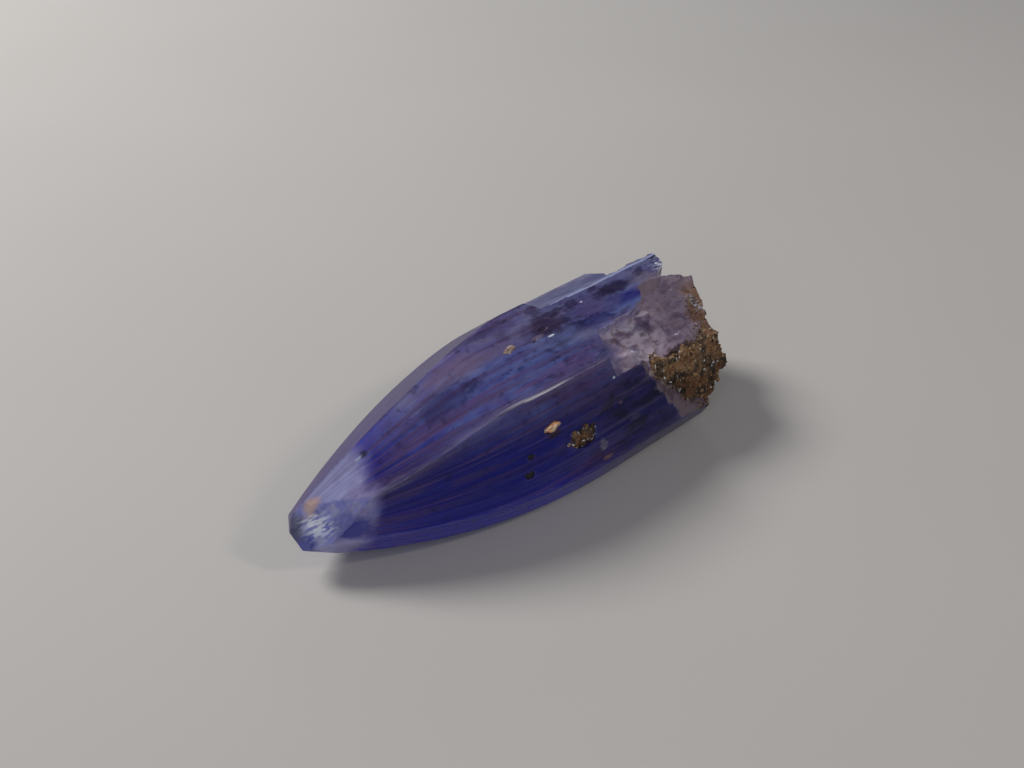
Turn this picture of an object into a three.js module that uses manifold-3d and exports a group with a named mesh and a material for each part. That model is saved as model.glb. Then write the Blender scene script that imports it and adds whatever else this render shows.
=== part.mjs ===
/**
 * Rough tanzanite: one striated crystal with a bullet-shaped tip and a broken end, a crust of its host rock
 * on the near side of that end, and a clump of the same rock in an open pit.
 *
 * Millimetres, +Z up. The crystal's long axis is X, its tip points to -X, and it lies on its flat underside.
 * Origin: on the resting plane, under the middle of the whole specimen.
 */
import * as THREE from 'three';
import { mergeVertices } from 'three/addons/utils/BufferGeometryUtils.js';
import Module from 'manifold-3d';

// ---- Driving dimensions (mm) ----------------------------------------------------------------------------

const TIP_X = -12.55;              // where the prism faces would close at the tip
const STOCK_END_X = 13;            // end of the uncut prism, past the broken end
const STOCK_WIDTH = 12;
const STOCK_HEIGHT = 8;
const OVERCUT = 1;                 // how far the cutting blocks reach past the stock
const AXIS = [0.4, 2.1];           // [y, z] of the line that every prism face tapers towards

// Corners of the cross-section at full width, as [y, z].
const UNDER_NEAR = [-3.1, 0];
const BAND_LOW = [-4.45, 0.7];
const NEAR_EDGE = [-4.95, 1.6];
const CREASE = [-2.9, 5.5];
const TOP_EDGE = [1.45, 6.7];
const FAR_SHOULDER = [4.2, 4.1];
const FAR_LOW = [4.1, 1.9];
const UNDER_FAR = [2.4, 0];

// How the faces run in to the tip: from which x, how full the curve is, and the share left at the tip.
const FLANK_TAPER = { taperFrom: 0, taperPower: 2.2, tipShare: 0.06 };
const TOP_TAPER = { taperFrom: -2.6, taperPower: 1.36, tipShare: 0.04 };
const BAND_TAPER = { taperFrom: 2, taperPower: 2.3, tipShare: 0.13 };
const UNDER_TAPER = { ...BAND_TAPER, tipShare: 0.32 };

// Each face runs between two corners. Its striations have a mean pitch and a greatest depth.
const PRISM_FACES = [
  { from: UNDER_NEAR, to: BAND_LOW, pitch: 0.6, groove: 0.05, seed: 1, ...UNDER_TAPER },
  { from: BAND_LOW, to: NEAR_EDGE, pitch: 0.45, groove: 0.05, seed: 2, ...BAND_TAPER },
  { from: NEAR_EDGE, to: CREASE, pitch: 0.25, groove: 0.12, seed: 3, ...FLANK_TAPER },
  { from: CREASE, to: TOP_EDGE, pitch: 0.25, groove: 0.1, seed: 4, ...TOP_TAPER },
  { from: TOP_EDGE, to: FAR_SHOULDER, pitch: 0.36, groove: 0.1, seed: 5, ...TOP_TAPER },
  { from: FAR_SHOULDER, to: FAR_LOW, pitch: 0.4, groove: 0.09, seed: 6, ...FLANK_TAPER },
  { from: FAR_LOW, to: UNDER_FAR, pitch: 0.6, groove: 0.06, seed: 7, ...FLANK_TAPER },
];
const FACE_HALF_WIDTH = 9;         // how far across its middle each face is cut
const STATION = 1.5;               // spacing along X of the points that shape a striation
const GROOVE_BIAS = 1.7;           // above 1, most striations are shallow and a few are deep
const GROOVE_STRAY = 0.35;         // share of the pitch that a striation may stand off its place
const GROOVE_FADE = 0.45;          // share of its depth that a striation may lose along its run

// Flat and broken surfaces: a point on each, the way it faces, and how far it is uneven. Where only part of
// the crystal is broken there, `outline` gives that part's plan as [x, y] points and `floor` its lowest z.
const TIP_FACET = { point: [-9.4, -1.0, 3.6], lean: [-0.62, -0.52, 0.6] };
const TIP_CHIN = { point: [-8.2, 0, 0], lean: [-0.37, 0, -1] };
const TIP_END = { point: [-12.45, 0.4, 2.1], lean: [-0.95, 0.1, -0.3] };
const CLEAVAGE = {
  point: [0, 0.75, 6.5],
  lean: [0, 0.45, 0.89],
  outline: [[2.4, -1], [13, -1], [13, 5], [0.3, 5], [1.1, 1.6], [1.7, 1.0]],
};
const TERRACE = {
  point: [3.2, -1.5, 5.45],
  lean: [0.15, -0.44, 0.885],
  roughness: 0.13,
  seed: 21,
  outline: [
    [3.2, -1.45], [2.95, -2.2], [2.6, -3.0], [2.9, -6], [13, -6], [13, 2], [9.9, 1.2],
    [9.1, 0.1], [8.3, -0.35], [6.9, -0.4], [6.5, -1.05], [5.6, -1.35], [4.2, -1.5],
  ],
};
const TERRACE_STEP = {
  point: [3.2, -1.5, 5.2],
  lean: [0.15, -0.44, 0.885],
  roughness: 0.1,
  seed: 22,
  outline: [[8.0, -0.9], [7.6, -2.0], [7.9, -2.9], [7.5, -6], [13, -6], [13, 0.4], [9.4, -0.2]],
};
const SPIKE_END = {
  point: [9.5, 0.7, 6.4],
  lean: [0.93, -0.1, 0.35],
  roughness: 0.15,
  seed: 23,
  outline: [[8, -1.5], [13, -1.5], [13, 5], [8, 5]],
  floor: 5.2,
};
const LOST_SHOULDER = {
  point: [6.1, 0.85, 6.5],
  lean: [0, 0.78, 0.62],
  roughness: 0.13,
  seed: 24,
  outline: [[6.1, 0], [13, 0], [13, 6], [5.5, 6], [6.5, 2.7]],
};
const FAR_END = {
  point: [10.3, 0.2, 5.05],
  lean: [0.25, 0.83, 0.5],
  roughness: 0.15,
  seed: 25,
  outline: [[9.3, -1.5], [13, -1.5], [13, 6], [9.0, 6], [9.2, 1.6]],
};
const BROKEN_END = { point: [11.05, -0.6, 4.4], lean: [0.83, -0.2, -0.52], roughness: 0.22, seed: 26 };
const CRUST_SEAT = { point: [4.3, -3.58, 4.2], lean: [0.18, -0.83, 0.53] };
const BREAK_CELL = 1.0;            // grid of the uneven surfaces

// Open pits, each with its middle and half sizes.
const PITS = [
  { middle: [0, -4.12, 3.09], half: [0.85, 0.6, 0.55] },
  { middle: [-1.46, -3.6, 4.1], half: [0.36, 0.25, 0.22] },
  { middle: [-3.08, -4.2, 2.72], half: [0.34, 0.3, 0.24] },
  { middle: [-2.78, -3.85, 3.39], half: [0.26, 0.25, 0.2] },
  { middle: [1.1, -0.17, 6.3], half: [0.55, 0.34, 0.34] },
  { middle: [0.35, -0.5, 6.2], half: [0.4, 0.24, 0.24] },
  { middle: [-1.1, -0.34, 6.25], half: [0.36, 0.22, 0.22] },
];
const PIT_UNEVENNESS = 0.15;
const PIT_SEED = 50;

// The clump in the first pit: two grown-together grains.
const PIT_GRAIN_HALF = [0.42, 0.24, 0.24];
const PIT_GRAIN_OFFSET = 0.18;     // how far each grain stands from the clump's middle
const PIT_GRAIN_UNEVENNESS = 0.18;
const PIT_GRAIN_SEED = 91;

const CRUST_GAP = 0.3;             // clearance between the crust and the crystal
const CRUST_PLATE = 0.35;          // thickness of the crust between its lumps, at its thin end
const CRUST_GROWTH = 0.13;         // gain in thickness for each millimetre towards the broken end
const CRUST_MARGIN = 0.25;         // how far the crust reaches past the middles of its outer lumps
const LUMP_SPACING = 0.75;
const LUMP_RADIUS = [0.35, 0.55];
const LUMP_UNEVENNESS = 0.28;
const LUMP_STRAY = [0.15, 0.12];   // how far a lump may stand off its place, along and across
const LUMP_SINK = [0.05, 0.25];    // how far a lump's middle lies below the plate's outer face
const LUMP_ROWS = [                // rows of lumps on the seat, as [across, first along, last along]
  [-0.2, 0.2, 4.6],
  [-0.8, 1.1, 4.6],
  [-1.4, 1.6, 4.5],
  [-2.0, 1.6, 3.8],
  [-2.4, 0.8, 1.7],
];
const CORNER_TOP = [4.9, -0.3];    // lumps round the corner run from here to the foot, as [along, across]
const CORNER_FOOT = [3.3, -2.0];
const CORNER_LUMPS = 6;
const CORNER_RADIUS = [0.44, 0.66];
const CORNER_OVERHANG = 0.35;      // how far past the end a corner lump's middle may stand
const SEAT_SEED = 61;
const CORNER_SEED = 62;

// ---- Small tools ----------------------------------------------------------------------------------------

const wasm = await Module();
wasm.setup();

/** A repeatable source of random numbers from 0 to 1. */
function randomFrom(seed) {
  let state = seed * 7919;
  return () => {
    state = (state + 0x6d2b79f5) | 0;
    let mixed = Math.imul(state ^ (state >>> 15), 1 | state);
    mixed = (mixed + Math.imul(mixed ^ (mixed >>> 7), 61 | mixed)) ^ mixed;
    return ((mixed ^ (mixed >>> 14)) >>> 0) / 4294967296;
  };
}

const between = (random, low, high) => low + (high - low) * random();

/** `count` values made by calling `make` with each index. */
const listOf = (count, make) => Array.from({ length: count }, (_, index) => make(index));

const vector = ([x, y, z]) => new THREE.Vector3(x, y, z);

/** The same closed surface with only positions, each corner stored once. */
function welded(geometry) {
  geometry.deleteAttribute('normal');
  geometry.deleteAttribute('uv');
  return mergeVertices(geometry, 1e-4);
}

/** A closed three.js geometry as a solid that can be joined and cut. */
function solidFrom(geometry) {
  const surface = welded(geometry);
  return new wasm.Manifold(new wasm.Mesh({
    numProp: 3,
    vertProperties: new Float32Array(surface.attributes.position.array),
    triVerts: new Uint32Array(surface.index.array),
  }));
}

/** A solid as a flat-shaded three.js geometry. */
function geometryFrom(solid) {
  const { vertProperties, triVerts } = solid.getMesh();
  const geometry = new THREE.BufferGeometry();
  geometry.setAttribute('position', new THREE.BufferAttribute(vertProperties, 3));
  geometry.setIndex(new THREE.BufferAttribute(triVerts, 1));
  const flat = geometry.toNonIndexed();
  flat.computeVertexNormals();
  return flat;
}

/**
 * A plane with an origin and three axes. `out` is the side that is cut away, moved out by `gap`, and
 * `along` runs as near to +X as it can, or to +Y on a plane that faces along X.
 */
function planeOf({ point, lean }, gap = 0) {
  const out = vector(lean).normalize();
  const reference = Math.abs(out.x) > 0.8 ? new THREE.Vector3(0, 1, 0) : new THREE.Vector3(1, 0, 0);
  const along = reference.addScaledVector(out, -reference.dot(out)).normalize();
  const origin = vector(point).addScaledVector(out, gap);
  return { origin, along, across: out.clone().cross(along), out };
}

/** A point given on a plane: so far along it, across it and out from it. */
function pointOn(plane, along, across, out) {
  return plane.origin.clone()
    .addScaledVector(plane.along, along)
    .addScaledVector(plane.across, across)
    .addScaledVector(plane.out, out);
}

/**
 * A block on the outer side of a plane. `surface(column, row, along)` gives how far its cutting face stands
 * out from the plane, and `shift(row)` moves a grid line sideways.
 */
function cuttingBlock(plane, { alongSpan, acrossSpan, columns, rows, surface, shift }) {
  const reach = STOCK_WIDTH;
  const block = new THREE.BoxGeometry(1, 1, 1, columns, rows, 1);
  const position = block.attributes.position;
  for (let i = 0; i < position.count; i += 1) {
    const column = Math.round((position.getX(i) + 0.5) * columns);
    const row = Math.round((position.getY(i) + 0.5) * rows);
    const along = THREE.MathUtils.lerp(...alongSpan, column / columns);
    const across = THREE.MathUtils.lerp(...acrossSpan, row / rows) + shift(row);
    const out = position.getZ(i) > 0 ? reach : surface(column, row, along);
    position.setXYZ(i, ...pointOn(plane, along, across, out));
  }
  return solidFrom(block);
}

/** A vertical-sided block over a plan outline of [x, y] points, from `floor` to above the crystal. */
function planBlock(outline, floor) {
  const shape = new THREE.Shape(outline.map(([x, y]) => new THREE.Vector2(x, y)));
  const depth = STOCK_HEIGHT + OVERCUT - floor;
  const block = new THREE.ExtrudeGeometry(shape, { depth, bevelEnabled: false });
  return solidFrom(block.translate(0, 0, floor));
}

/** The material that a flat or broken surface takes off, moved out by `gap`. */
function breakCut({ point, lean, roughness = 0, seed = 0, outline, floor = -OVERCUT }, gap = 0) {
  const half = STOCK_WIDTH;
  const cells = roughness ? Math.round((2 * half) / BREAK_CELL) : 1;
  const random = randomFrom(seed);
  const heights = listOf((cells + 1) ** 2, () => between(random, -roughness, roughness));
  const shifts = listOf(cells + 1, () => between(random, -roughness / 2, roughness / 2));
  const block = cuttingBlock(planeOf({ point, lean }, gap), {
    alongSpan: [-half, half],
    acrossSpan: [-half, half],
    columns: cells,
    rows: cells,
    surface: (column, row) => heights[row * (cells + 1) + column],
    shift: (row) => shifts[row],
  });
  return outline ? block.intersect(planBlock(outline, floor)) : block;
}

/** A lump of uneven stone: a faceted ball with its corners moved in and out by the share `unevenness`. */
function lump(middle, half, { seed, unevenness, detail = 1 }) {
  const ball = welded(new THREE.IcosahedronGeometry(1, detail));
  const position = ball.attributes.position;
  const random = randomFrom(seed);
  for (let i = 0; i < position.count; i += 1) {
    const size = between(random, 1 - unevenness, 1 + unevenness);
    const corner = new THREE.Vector3().fromBufferAttribute(position, i).multiplyScalar(size);
    position.setXYZ(i, ...corner.multiply(vector(half)).add(vector(middle)));
  }
  return solidFrom(ball);
}

// ---- The crystal ----------------------------------------------------------------------------------------

/** Share of a face's reach that is left at `x`: 1 on the body, falling in a curve to the tip. */
function taperAt(x, { taperFrom, taperPower, tipShare }) {
  if (x >= taperFrom) return 1;
  const run = (taperFrom - x) / (taperFrom - TIP_X);
  return 1 - (1 - tipShare) * run ** taperPower;
}

/**
 * What is outside one prism face, through two corners of the cross-section. Its striations run along X and
 * keep their place across the face while the face tapers, so the tip's outline cuts them off.
 */
function prismFaceCut({ from, to, pitch, groove, seed, ...taper }) {
  const [axisY, axisZ] = AXIS;
  const corner = new THREE.Vector3(0, from[0] - axisY, from[1] - axisZ);
  const normal = new THREE.Vector3(0, to[1] - from[1], from[0] - to[0]).normalize();
  if (corner.dot(normal) < 0) normal.negate();
  const reach = corner.dot(normal);
  const alongSpan = [TIP_X - OVERCUT, STOCK_END_X + OVERCUT];
  const acrossSpan = [-FACE_HALF_WIDTH, FACE_HALF_WIDTH];
  const columns = Math.round((alongSpan[1] - alongSpan[0]) / STATION);
  const rows = Math.round((2 * FACE_HALF_WIDTH) / pitch);
  const random = randomFrom(seed);
  const depths = listOf(rows + 1, () => random() ** GROOVE_BIAS * groove);
  const shifts = listOf(rows + 1, () => between(random, -GROOVE_STRAY, GROOVE_STRAY) * pitch);
  const fades = listOf(rows + 1, () => listOf(columns + 1, () => between(random, 1 - GROOVE_FADE, 1)));
  return cuttingBlock(planeOf({ point: [0, axisY, axisZ], lean: normal.toArray() }), {
    alongSpan,
    acrossSpan,
    columns,
    rows,
    surface: (column, row, x) => reach * taperAt(x, taper) - depths[row] * fades[row][column],
    shift: (row) => shifts[row],
  });
}

/** The prism with its tapering tip, before anything is broken off it. */
function grownPrism() {
  const length = STOCK_END_X - TIP_X;
  const stock = new THREE.BoxGeometry(length, STOCK_WIDTH, STOCK_HEIGHT);
  stock.translate(TIP_X + length / 2, 0, STOCK_HEIGHT / 2);
  return PRISM_FACES.reduce((body, face) => body.subtract(prismFaceCut(face)), solidFrom(stock));
}

function crystal() {
  const tip = [TIP_FACET, TIP_CHIN, TIP_END];
  const upperBreaks = [CLEAVAGE, TERRACE, TERRACE_STEP, SPIKE_END, LOST_SHOULDER, FAR_END];
  const breaks = [...tip, ...upperBreaks, BROKEN_END, CRUST_SEAT].map((surface) => breakCut(surface));
  const pits = PITS.map(({ middle, half }, index) => (
    lump(middle, half, { seed: PIT_SEED + index, unevenness: PIT_UNEVENNESS })
  ));
  return [...breaks, ...pits].reduce((body, cut) => body.subtract(cut), grownPrism());
}

// ---- The host rock --------------------------------------------------------------------------------------

/** Thickness of the crust's plate at a distance along the seat. */
const crustThickness = (along) => CRUST_PLATE + CRUST_GROWTH * Math.max(along, 0);

/** A wedge-shaped plate under the rows of lumps. */
function crustPlate(seat) {
  const left = LUMP_ROWS.map(([across, first]) => new THREE.Vector2(first - CRUST_MARGIN, across));
  const right = LUMP_ROWS.map(([across, , last]) => new THREE.Vector2(last + CRUST_MARGIN, across));
  const shape = new THREE.Shape([...left, ...right.reverse()]);
  const plate = new THREE.ExtrudeGeometry(shape, { depth: 1, bevelEnabled: false });
  const position = plate.attributes.position;
  for (let i = 0; i < position.count; i += 1) {
    const along = position.getX(i);
    const out = position.getZ(i) * crustThickness(along);
    position.setXYZ(i, ...pointOn(seat, along, position.getY(i), out));
  }
  return solidFrom(plate);
}

function crustLump(middle, radius, seed) {
  return lump(middle.toArray(), [radius, radius, radius], { seed, unevenness: LUMP_UNEVENNESS, detail: 0 });
}

/** Lumps in rows over the seat. */
function seatLumps(seat) {
  const random = randomFrom(SEAT_SEED);
  const [strayAlong, strayAcross] = LUMP_STRAY;
  return LUMP_ROWS.flatMap(([rowAcross, first, last], row) => {
    const steps = Math.round((last - first) / LUMP_SPACING);
    return listOf(steps + 1, (index) => {
      const place = THREE.MathUtils.lerp(first, last, index / steps);
      const along = place + between(random, -strayAlong, strayAlong);
      const across = rowAcross + between(random, -strayAcross, strayAcross);
      const height = crustThickness(along) - between(random, ...LUMP_SINK);
      const radius = between(random, ...LUMP_RADIUS);
      return crustLump(pointOn(seat, along, across, height), radius, SEAT_SEED * (row + 2) + index);
    });
  });
}

/** Lumps that wrap round the corner between the seat and the broken end. */
function cornerLumps(seat, end) {
  const random = randomFrom(CORNER_SEED);
  const top = pointOn(seat, ...CORNER_TOP, 0);
  const foot = pointOn(seat, ...CORNER_FOOT, 0);
  return listOf(CORNER_LUMPS, (index) => {
    const middle = top.clone().lerp(foot, index / (CORNER_LUMPS - 1));
    middle.addScaledVector(end.out, between(random, 0, CORNER_OVERHANG));
    return crustLump(middle, between(random, ...CORNER_RADIUS), CORNER_SEED + 1 + index);
  });
}

/** The crust: everything of its plate and lumps that is clear of the seat and of the broken end. */
function matrixCrust() {
  const seat = planeOf(CRUST_SEAT, CRUST_GAP);
  const lumps = [...seatLumps(seat), ...cornerLumps(seat, planeOf(BROKEN_END))];
  const rock = lumps.reduce((sum, piece) => sum.add(piece), crustPlate(seat));
  const smoothEnd = { ...BROKEN_END, roughness: 0 };
  const outside = breakCut(CRUST_SEAT, CRUST_GAP).add(breakCut(smoothEnd, CRUST_GAP + BROKEN_END.roughness));
  return rock.intersect(outside);
}

/** Two grown-together grains in the first pit. */
function pitGrain() {
  const [{ middle: [x, y, z] }] = PITS;
  const unevenness = PIT_GRAIN_UNEVENNESS;
  const left = lump([x - PIT_GRAIN_OFFSET, y, z], PIT_GRAIN_HALF, { seed: PIT_GRAIN_SEED, unevenness });
  const right = lump([x + PIT_GRAIN_OFFSET, y, z], PIT_GRAIN_HALF, { seed: PIT_GRAIN_SEED + 1, unevenness });
  return left.add(right);
}

// ---- Assembly -------------------------------------------------------------------------------------------

const tanzanite = new THREE.MeshStandardMaterial({ color: 0x34307a, roughness: 0.15, metalness: 0 });
const hostRock = new THREE.MeshStandardMaterial({ color: 0x6b4a2c, roughness: 0.8, metalness: 0 });

function namedMesh(name, solid, material) {
  const mesh = new THREE.Mesh(geometryFrom(solid), material);
  mesh.name = name;
  return mesh;
}

const pieces = new THREE.Group();
pieces.add(
  namedMesh('crystal', crystal(), tanzanite),
  namedMesh('matrix_crust', matrixCrust(), hostRock),
  namedMesh('pit_grain', pitGrain(), hostRock),
);

// The pieces are moved so that the origin lies under the middle of the whole specimen.
const middle = new THREE.Box3().setFromObject(pieces).getCenter(new THREE.Vector3());
pieces.position.set(-middle.x, -middle.y, 0);

const specimen = new THREE.Group();
specimen.add(pieces);

export default specimen;
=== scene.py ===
"""Rough tanzanite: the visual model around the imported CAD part, laid out as a Blender add-on.

The crystal is shaped in millimetres in its own frame, which is the frame of the part's source before the
specimen is centred, and every finished mesh is then brought to metres in the frame of the CAD part.
"""

import math
from contextlib import contextmanager

import bmesh
import bpy
import numpy as np
from mathutils import Matrix, Vector
from mathutils.bvhtree import BVHTree


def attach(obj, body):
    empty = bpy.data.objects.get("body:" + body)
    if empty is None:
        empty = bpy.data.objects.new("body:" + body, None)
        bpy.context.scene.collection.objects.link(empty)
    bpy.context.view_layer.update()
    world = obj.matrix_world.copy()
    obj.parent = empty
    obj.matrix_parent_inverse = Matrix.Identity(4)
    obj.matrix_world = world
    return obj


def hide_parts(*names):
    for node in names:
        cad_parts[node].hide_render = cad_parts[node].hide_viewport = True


bl_info = {
    "name": "Rough tanzanite",
    "version": (1, 0, 0),
    "blender": (4, 5, 0),
    "location": "3D View > Sidebar > Tanzanite",
    "description": "Builds a rough tanzanite crystal with remains of its host rock, and a studio for it",
    "category": "Object",
}

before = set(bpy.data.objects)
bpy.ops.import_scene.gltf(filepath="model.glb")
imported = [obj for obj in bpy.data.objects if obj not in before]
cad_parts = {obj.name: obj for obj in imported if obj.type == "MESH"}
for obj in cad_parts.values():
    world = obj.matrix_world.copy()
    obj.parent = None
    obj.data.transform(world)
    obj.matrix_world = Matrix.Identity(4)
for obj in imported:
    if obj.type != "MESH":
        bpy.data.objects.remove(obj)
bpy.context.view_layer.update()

MM = 0.001
MIDDLE = np.array([-0.48362, -0.79397, 0.0])  # the point of the crystal's frame that is the part's origin, mm

# ---- The crystal's sizes, in mm, as in the part's source ------------------------------------------------

TIP_X = -12.55
STOCK_END_X = 13.0
STOCK_HALF_WIDTH = 6.0
STOCK_HEIGHT = 8.0
OVERCUT = 1.0
REACH = 12.0
AXIS = (0.4, 2.1)

UNDER_NEAR = (-3.1, 0.0)
BAND_LOW = (-4.6, 0.58)
NEAR_EDGE = (-4.95, 1.6)
CREASE = (-2.9, 5.5)
TOP_EDGE = (1.45, 6.7)
FAR_SHOULDER = (4.2, 4.1)
FAR_LOW = (4.1, 1.9)
UNDER_FAR = (2.4, 0.0)

# A taper is: from which x it runs, how full its curve is, and the share of the width left at the tip.
FLANK_TAPER = (0.0, 2.2, 0.06)
TOP_TAPER = (-2.6, 1.36, 0.04)
SHOULDER_TAPER = (0.0, 1.5, 0.04)
BAND_TAPER = (2.0, 2.3, 0.13)
UNDER_TAPER = (2.0, 2.3, 0.32)

# Each prism face: its two corners, its taper, how deep its deepest striations are, and its random seed.
PRISM_FACES = (
    (UNDER_NEAR, BAND_LOW, UNDER_TAPER, 0.04, 1),
    (BAND_LOW, NEAR_EDGE, BAND_TAPER, 0.03, 2),
    (NEAR_EDGE, CREASE, FLANK_TAPER, 0.035, 3),
    (CREASE, TOP_EDGE, TOP_TAPER, 0.04, 4),
    (TOP_EDGE, FAR_SHOULDER, SHOULDER_TAPER, 0.06, 5),
    (FAR_SHOULDER, FAR_LOW, FLANK_TAPER, 0.07, 6),
    (FAR_LOW, UNDER_FAR, FLANK_TAPER, 0.05, 7),
)
FACE_STATION = 0.3        # grid of a prism face along X
FACE_ROW = 0.05           # and across it
FACE_MARGIN = 0.6         # how far the fine grid runs on past the face's corners
FAR_OUT = 9.0             # where the last line of a grid lies, well outside the crystal
MIN_NARROWING = 0.06      # the grain is drawn together no further than this
STRIATION_SETS = ((0.5, 0.5), (0.22, 0.35), (0.12, 0.15))  # mean pitch, and share of the depth, of each set
PITCH_SPREAD = (0.4, 1.6)  # how much narrower or wider than the mean a groove may be
SHALLOWER = 1.7           # most grooves are shallow: this power of an even spread of depths
GROOVE_RUN = 2.5          # a groove deepens and fades over about this length
GROOVE_NARROWEST = 0.2    # towards the tip the grooves run together to this share of their pitch at most
GROOVE_FADED = 0.05       # and grow shallower until the face is narrowed to this share
FAR_LOOKING = 0.5         # a prism face lies on the far side where its normal points more than this to +Y
SHARP_ANGLE = math.radians(32)  # edges of the crystal that turn by more than this stay sharp

# The worn edges between two prism faces: the two faces by number, how deep the edge is worn, and how much
# deeper over one stretch, with the middle and half length of that stretch. The first edge is the crease.
WORN_EDGES = ((2, 3, 0.008, 0.01, -1.6, 1.5), (3, 4, -0.03, 0.13, -2.8, 1.7), (1, 2, 0.03, 0, 0, 1))
WEAR_RUN = 1.1            # wear comes and goes over about this length
EDGE_HALF = 0.5           # half width of a worn edge's fine grid
EDGE_GRAIN = (0.006, 0.3)  # how rough a worn edge is, and how far apart its fine hills are

# Which kind of surface a face of the crystal is.
GROWN, CLEAVED, MILKY, END, FROSTED, TIP, PIT, FAR = range(8)
KINDS = {"cleaved": CLEAVED, "milky": MILKY, "end": END, "frosted": FROSTED, "tip": TIP, "pit": PIT,
         "far": FAR}
# How many rounds of softening the border of a kind gets. The others get one.
SOFT_ROUNDS = {"milky": 14, "tip": 8, "frosted": 6, "end": 4}

# Each flat or broken surface: its kind, a point on it, the way it faces, how far it is uneven, the size of
# its chips, the span of its fine grid along and across, and, where it has them, the most that its chips stand
# out, the plan of the part that it is limited to, the floor of that part, and a swell.
BREAKS = {
    "tip_facet": dict(kind=TIP, point=(-9.46, -1.05, 3.66), lean=(-0.62, -0.52, 0.6), roughness=0.025,
                      chip=0.45, span=((-3.5, 3.5), (-3.5, 3.5))),
    "tip_chin": dict(kind=GROWN, point=(-8.2, 0, 0), lean=(-0.37, 0, -1), roughness=0, chip=0, span=None),
    "tip_end": dict(kind=TIP, point=(-12.24, 0.4, 2.1), lean=(-0.95, 0.1, -0.3), roughness=0.03, chip=0.4,
                    span=((-1.6, 1.6), (-1.6, 1.6))),
    "tip_side": dict(kind=TIP, point=(-12.0, 0.6, 2.2), lean=(-0.9, 0.4, 0.25), roughness=0.02, chip=0.4,
                     span=((-1.6, 1.6), (-1.6, 1.6))),
    "cleavage": dict(kind=CLEAVED, point=(0, 0.75, 6.5), lean=(0, 0.45, 0.89), roughness=0.012, chip=2.5,
                     span=((0, 12), (-3.5, 1)),
                     outline=((2.4, -1), (13, -1), (13, 5), (0.3, 5), (1.1, 1.6), (1.7, 1.0))),
    "ridge_wear": dict(kind=CLEAVED, point=(0, 0.741, 6.468), lean=(0, 0.1, 0.995), roughness=0.006, chip=1.5,
                       span=((1, 10.5), (-1, 1)), outline=((2.6, -0.3), (13, -0.3), (13, 1.8), (1.9, 1.8))),
    "terrace": dict(kind=MILKY, point=(3.2, -1.5, 5.45), lean=(0.15, -0.44, 0.885), roughness=0.13,
                    chip=1.3, chipping=0.3, span=((-1, 8.5), (-3, 3)),
                    outline=((3.2, -1.45), (2.95, -2.2), (2.6, -3.0), (2.9, -6), (13, -6), (13, 2),
                             (9.9, 1.2), (9.1, 0.1), (8.3, -0.35), (6.9, -0.4), (6.5, -1.05), (5.6, -1.35),
                             (4.2, -1.5))),
    "terrace_step": dict(kind=MILKY, point=(3.2, -1.5, 5.2), lean=(0.15, -0.44, 0.885), roughness=0.1,
                         chip=0.8, chipping=0.4, span=((3.5, 8.5), (-3, 3)),
                         outline=((8.0, -0.9), (7.6, -2.0), (7.9, -2.9), (7.5, -6), (13, -6), (13, 0.4),
                                  (9.4, -0.2))),
    "spike_end": dict(kind=MILKY, point=(9.5, 0.7, 6.4), lean=(0.93, -0.1, 0.35), roughness=0.15, chip=0.3,
                      span=((-3, 3), (-3, 3)), outline=((8, -1.5), (13, -1.5), (13, 5), (8, 5)), floor=5.2),
    "lost_shoulder": dict(kind=END, point=(6.1, 0.85, 6.5), lean=(0, 0.78, 0.62), roughness=0.13, chip=0.6,
                          span=((-1, 6), (-1, 6)),
                          outline=((6.1, 0), (13, 0), (13, 6), (5.5, 6), (6.5, 2.7))),
    "far_end": dict(kind=END, point=(10.3, 0.2, 5.05), lean=(0.25, 0.83, 0.5), roughness=0.15, chip=0.5,
                    span=((-3, 3), (-1, 6)),
                    outline=((9.3, -1.5), (13, -1.5), (13, 6), (9.0, 6), (9.2, 1.6))),
    "broken_end": dict(kind=END, point=(11.05, -0.6, 4.4), lean=(0.83, -0.2, -0.52), roughness=0.2,
                       chip=0.6, span=((-5, 6), (-6, 3)), swell=(-0.5, 0.0, 0.9, 0.35)),
    "crust_seat": dict(kind=FROSTED, point=(4.3, -3.58, 4.2), lean=(0.18, -0.83, 0.53), roughness=0.05,
                       chip=0.35, span=((-1, 7.5), (-4, 1))),
}
BREAK_CELL = 0.09         # grid of a broken surface
BREAK_HILLS = ((0.6, 1.3), (0.25, 0.45), (0.12, 0.17))  # its hills: share of the roughness, and their spacing
CHIP_SLOPE = 0.35         # a chip leans by up to this slope
OUTLINE_STEP = 0.16       # a broken outline wanders at this step
OUTLINE_JAG = 0.07        # by up to this much
OUTLINE_DRIFT = 0.75      # and keeps this share of where it was

# Open pits: the middle of each, and its half sizes.
PITS = (
    ((0, -4.12, 3.09), (0.68, 0.5, 0.42)),
    ((-1.46, -3.6, 4.1), (0.32, 0.22, 0.18)),
    ((-3.08, -4.2, 2.72), (0.26, 0.25, 0.16)),
    ((-2.78, -3.85, 3.39), (0.18, 0.2, 0.12)),
    ((1.1, -0.17, 6.3), (0.3, 0.14, 0.13)),
    ((0.35, -0.5, 6.2), (0.2, 0.1, 0.1)),
    ((-1.1, -0.34, 6.25), (0.26, 0.14, 0.18)),
)

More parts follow.
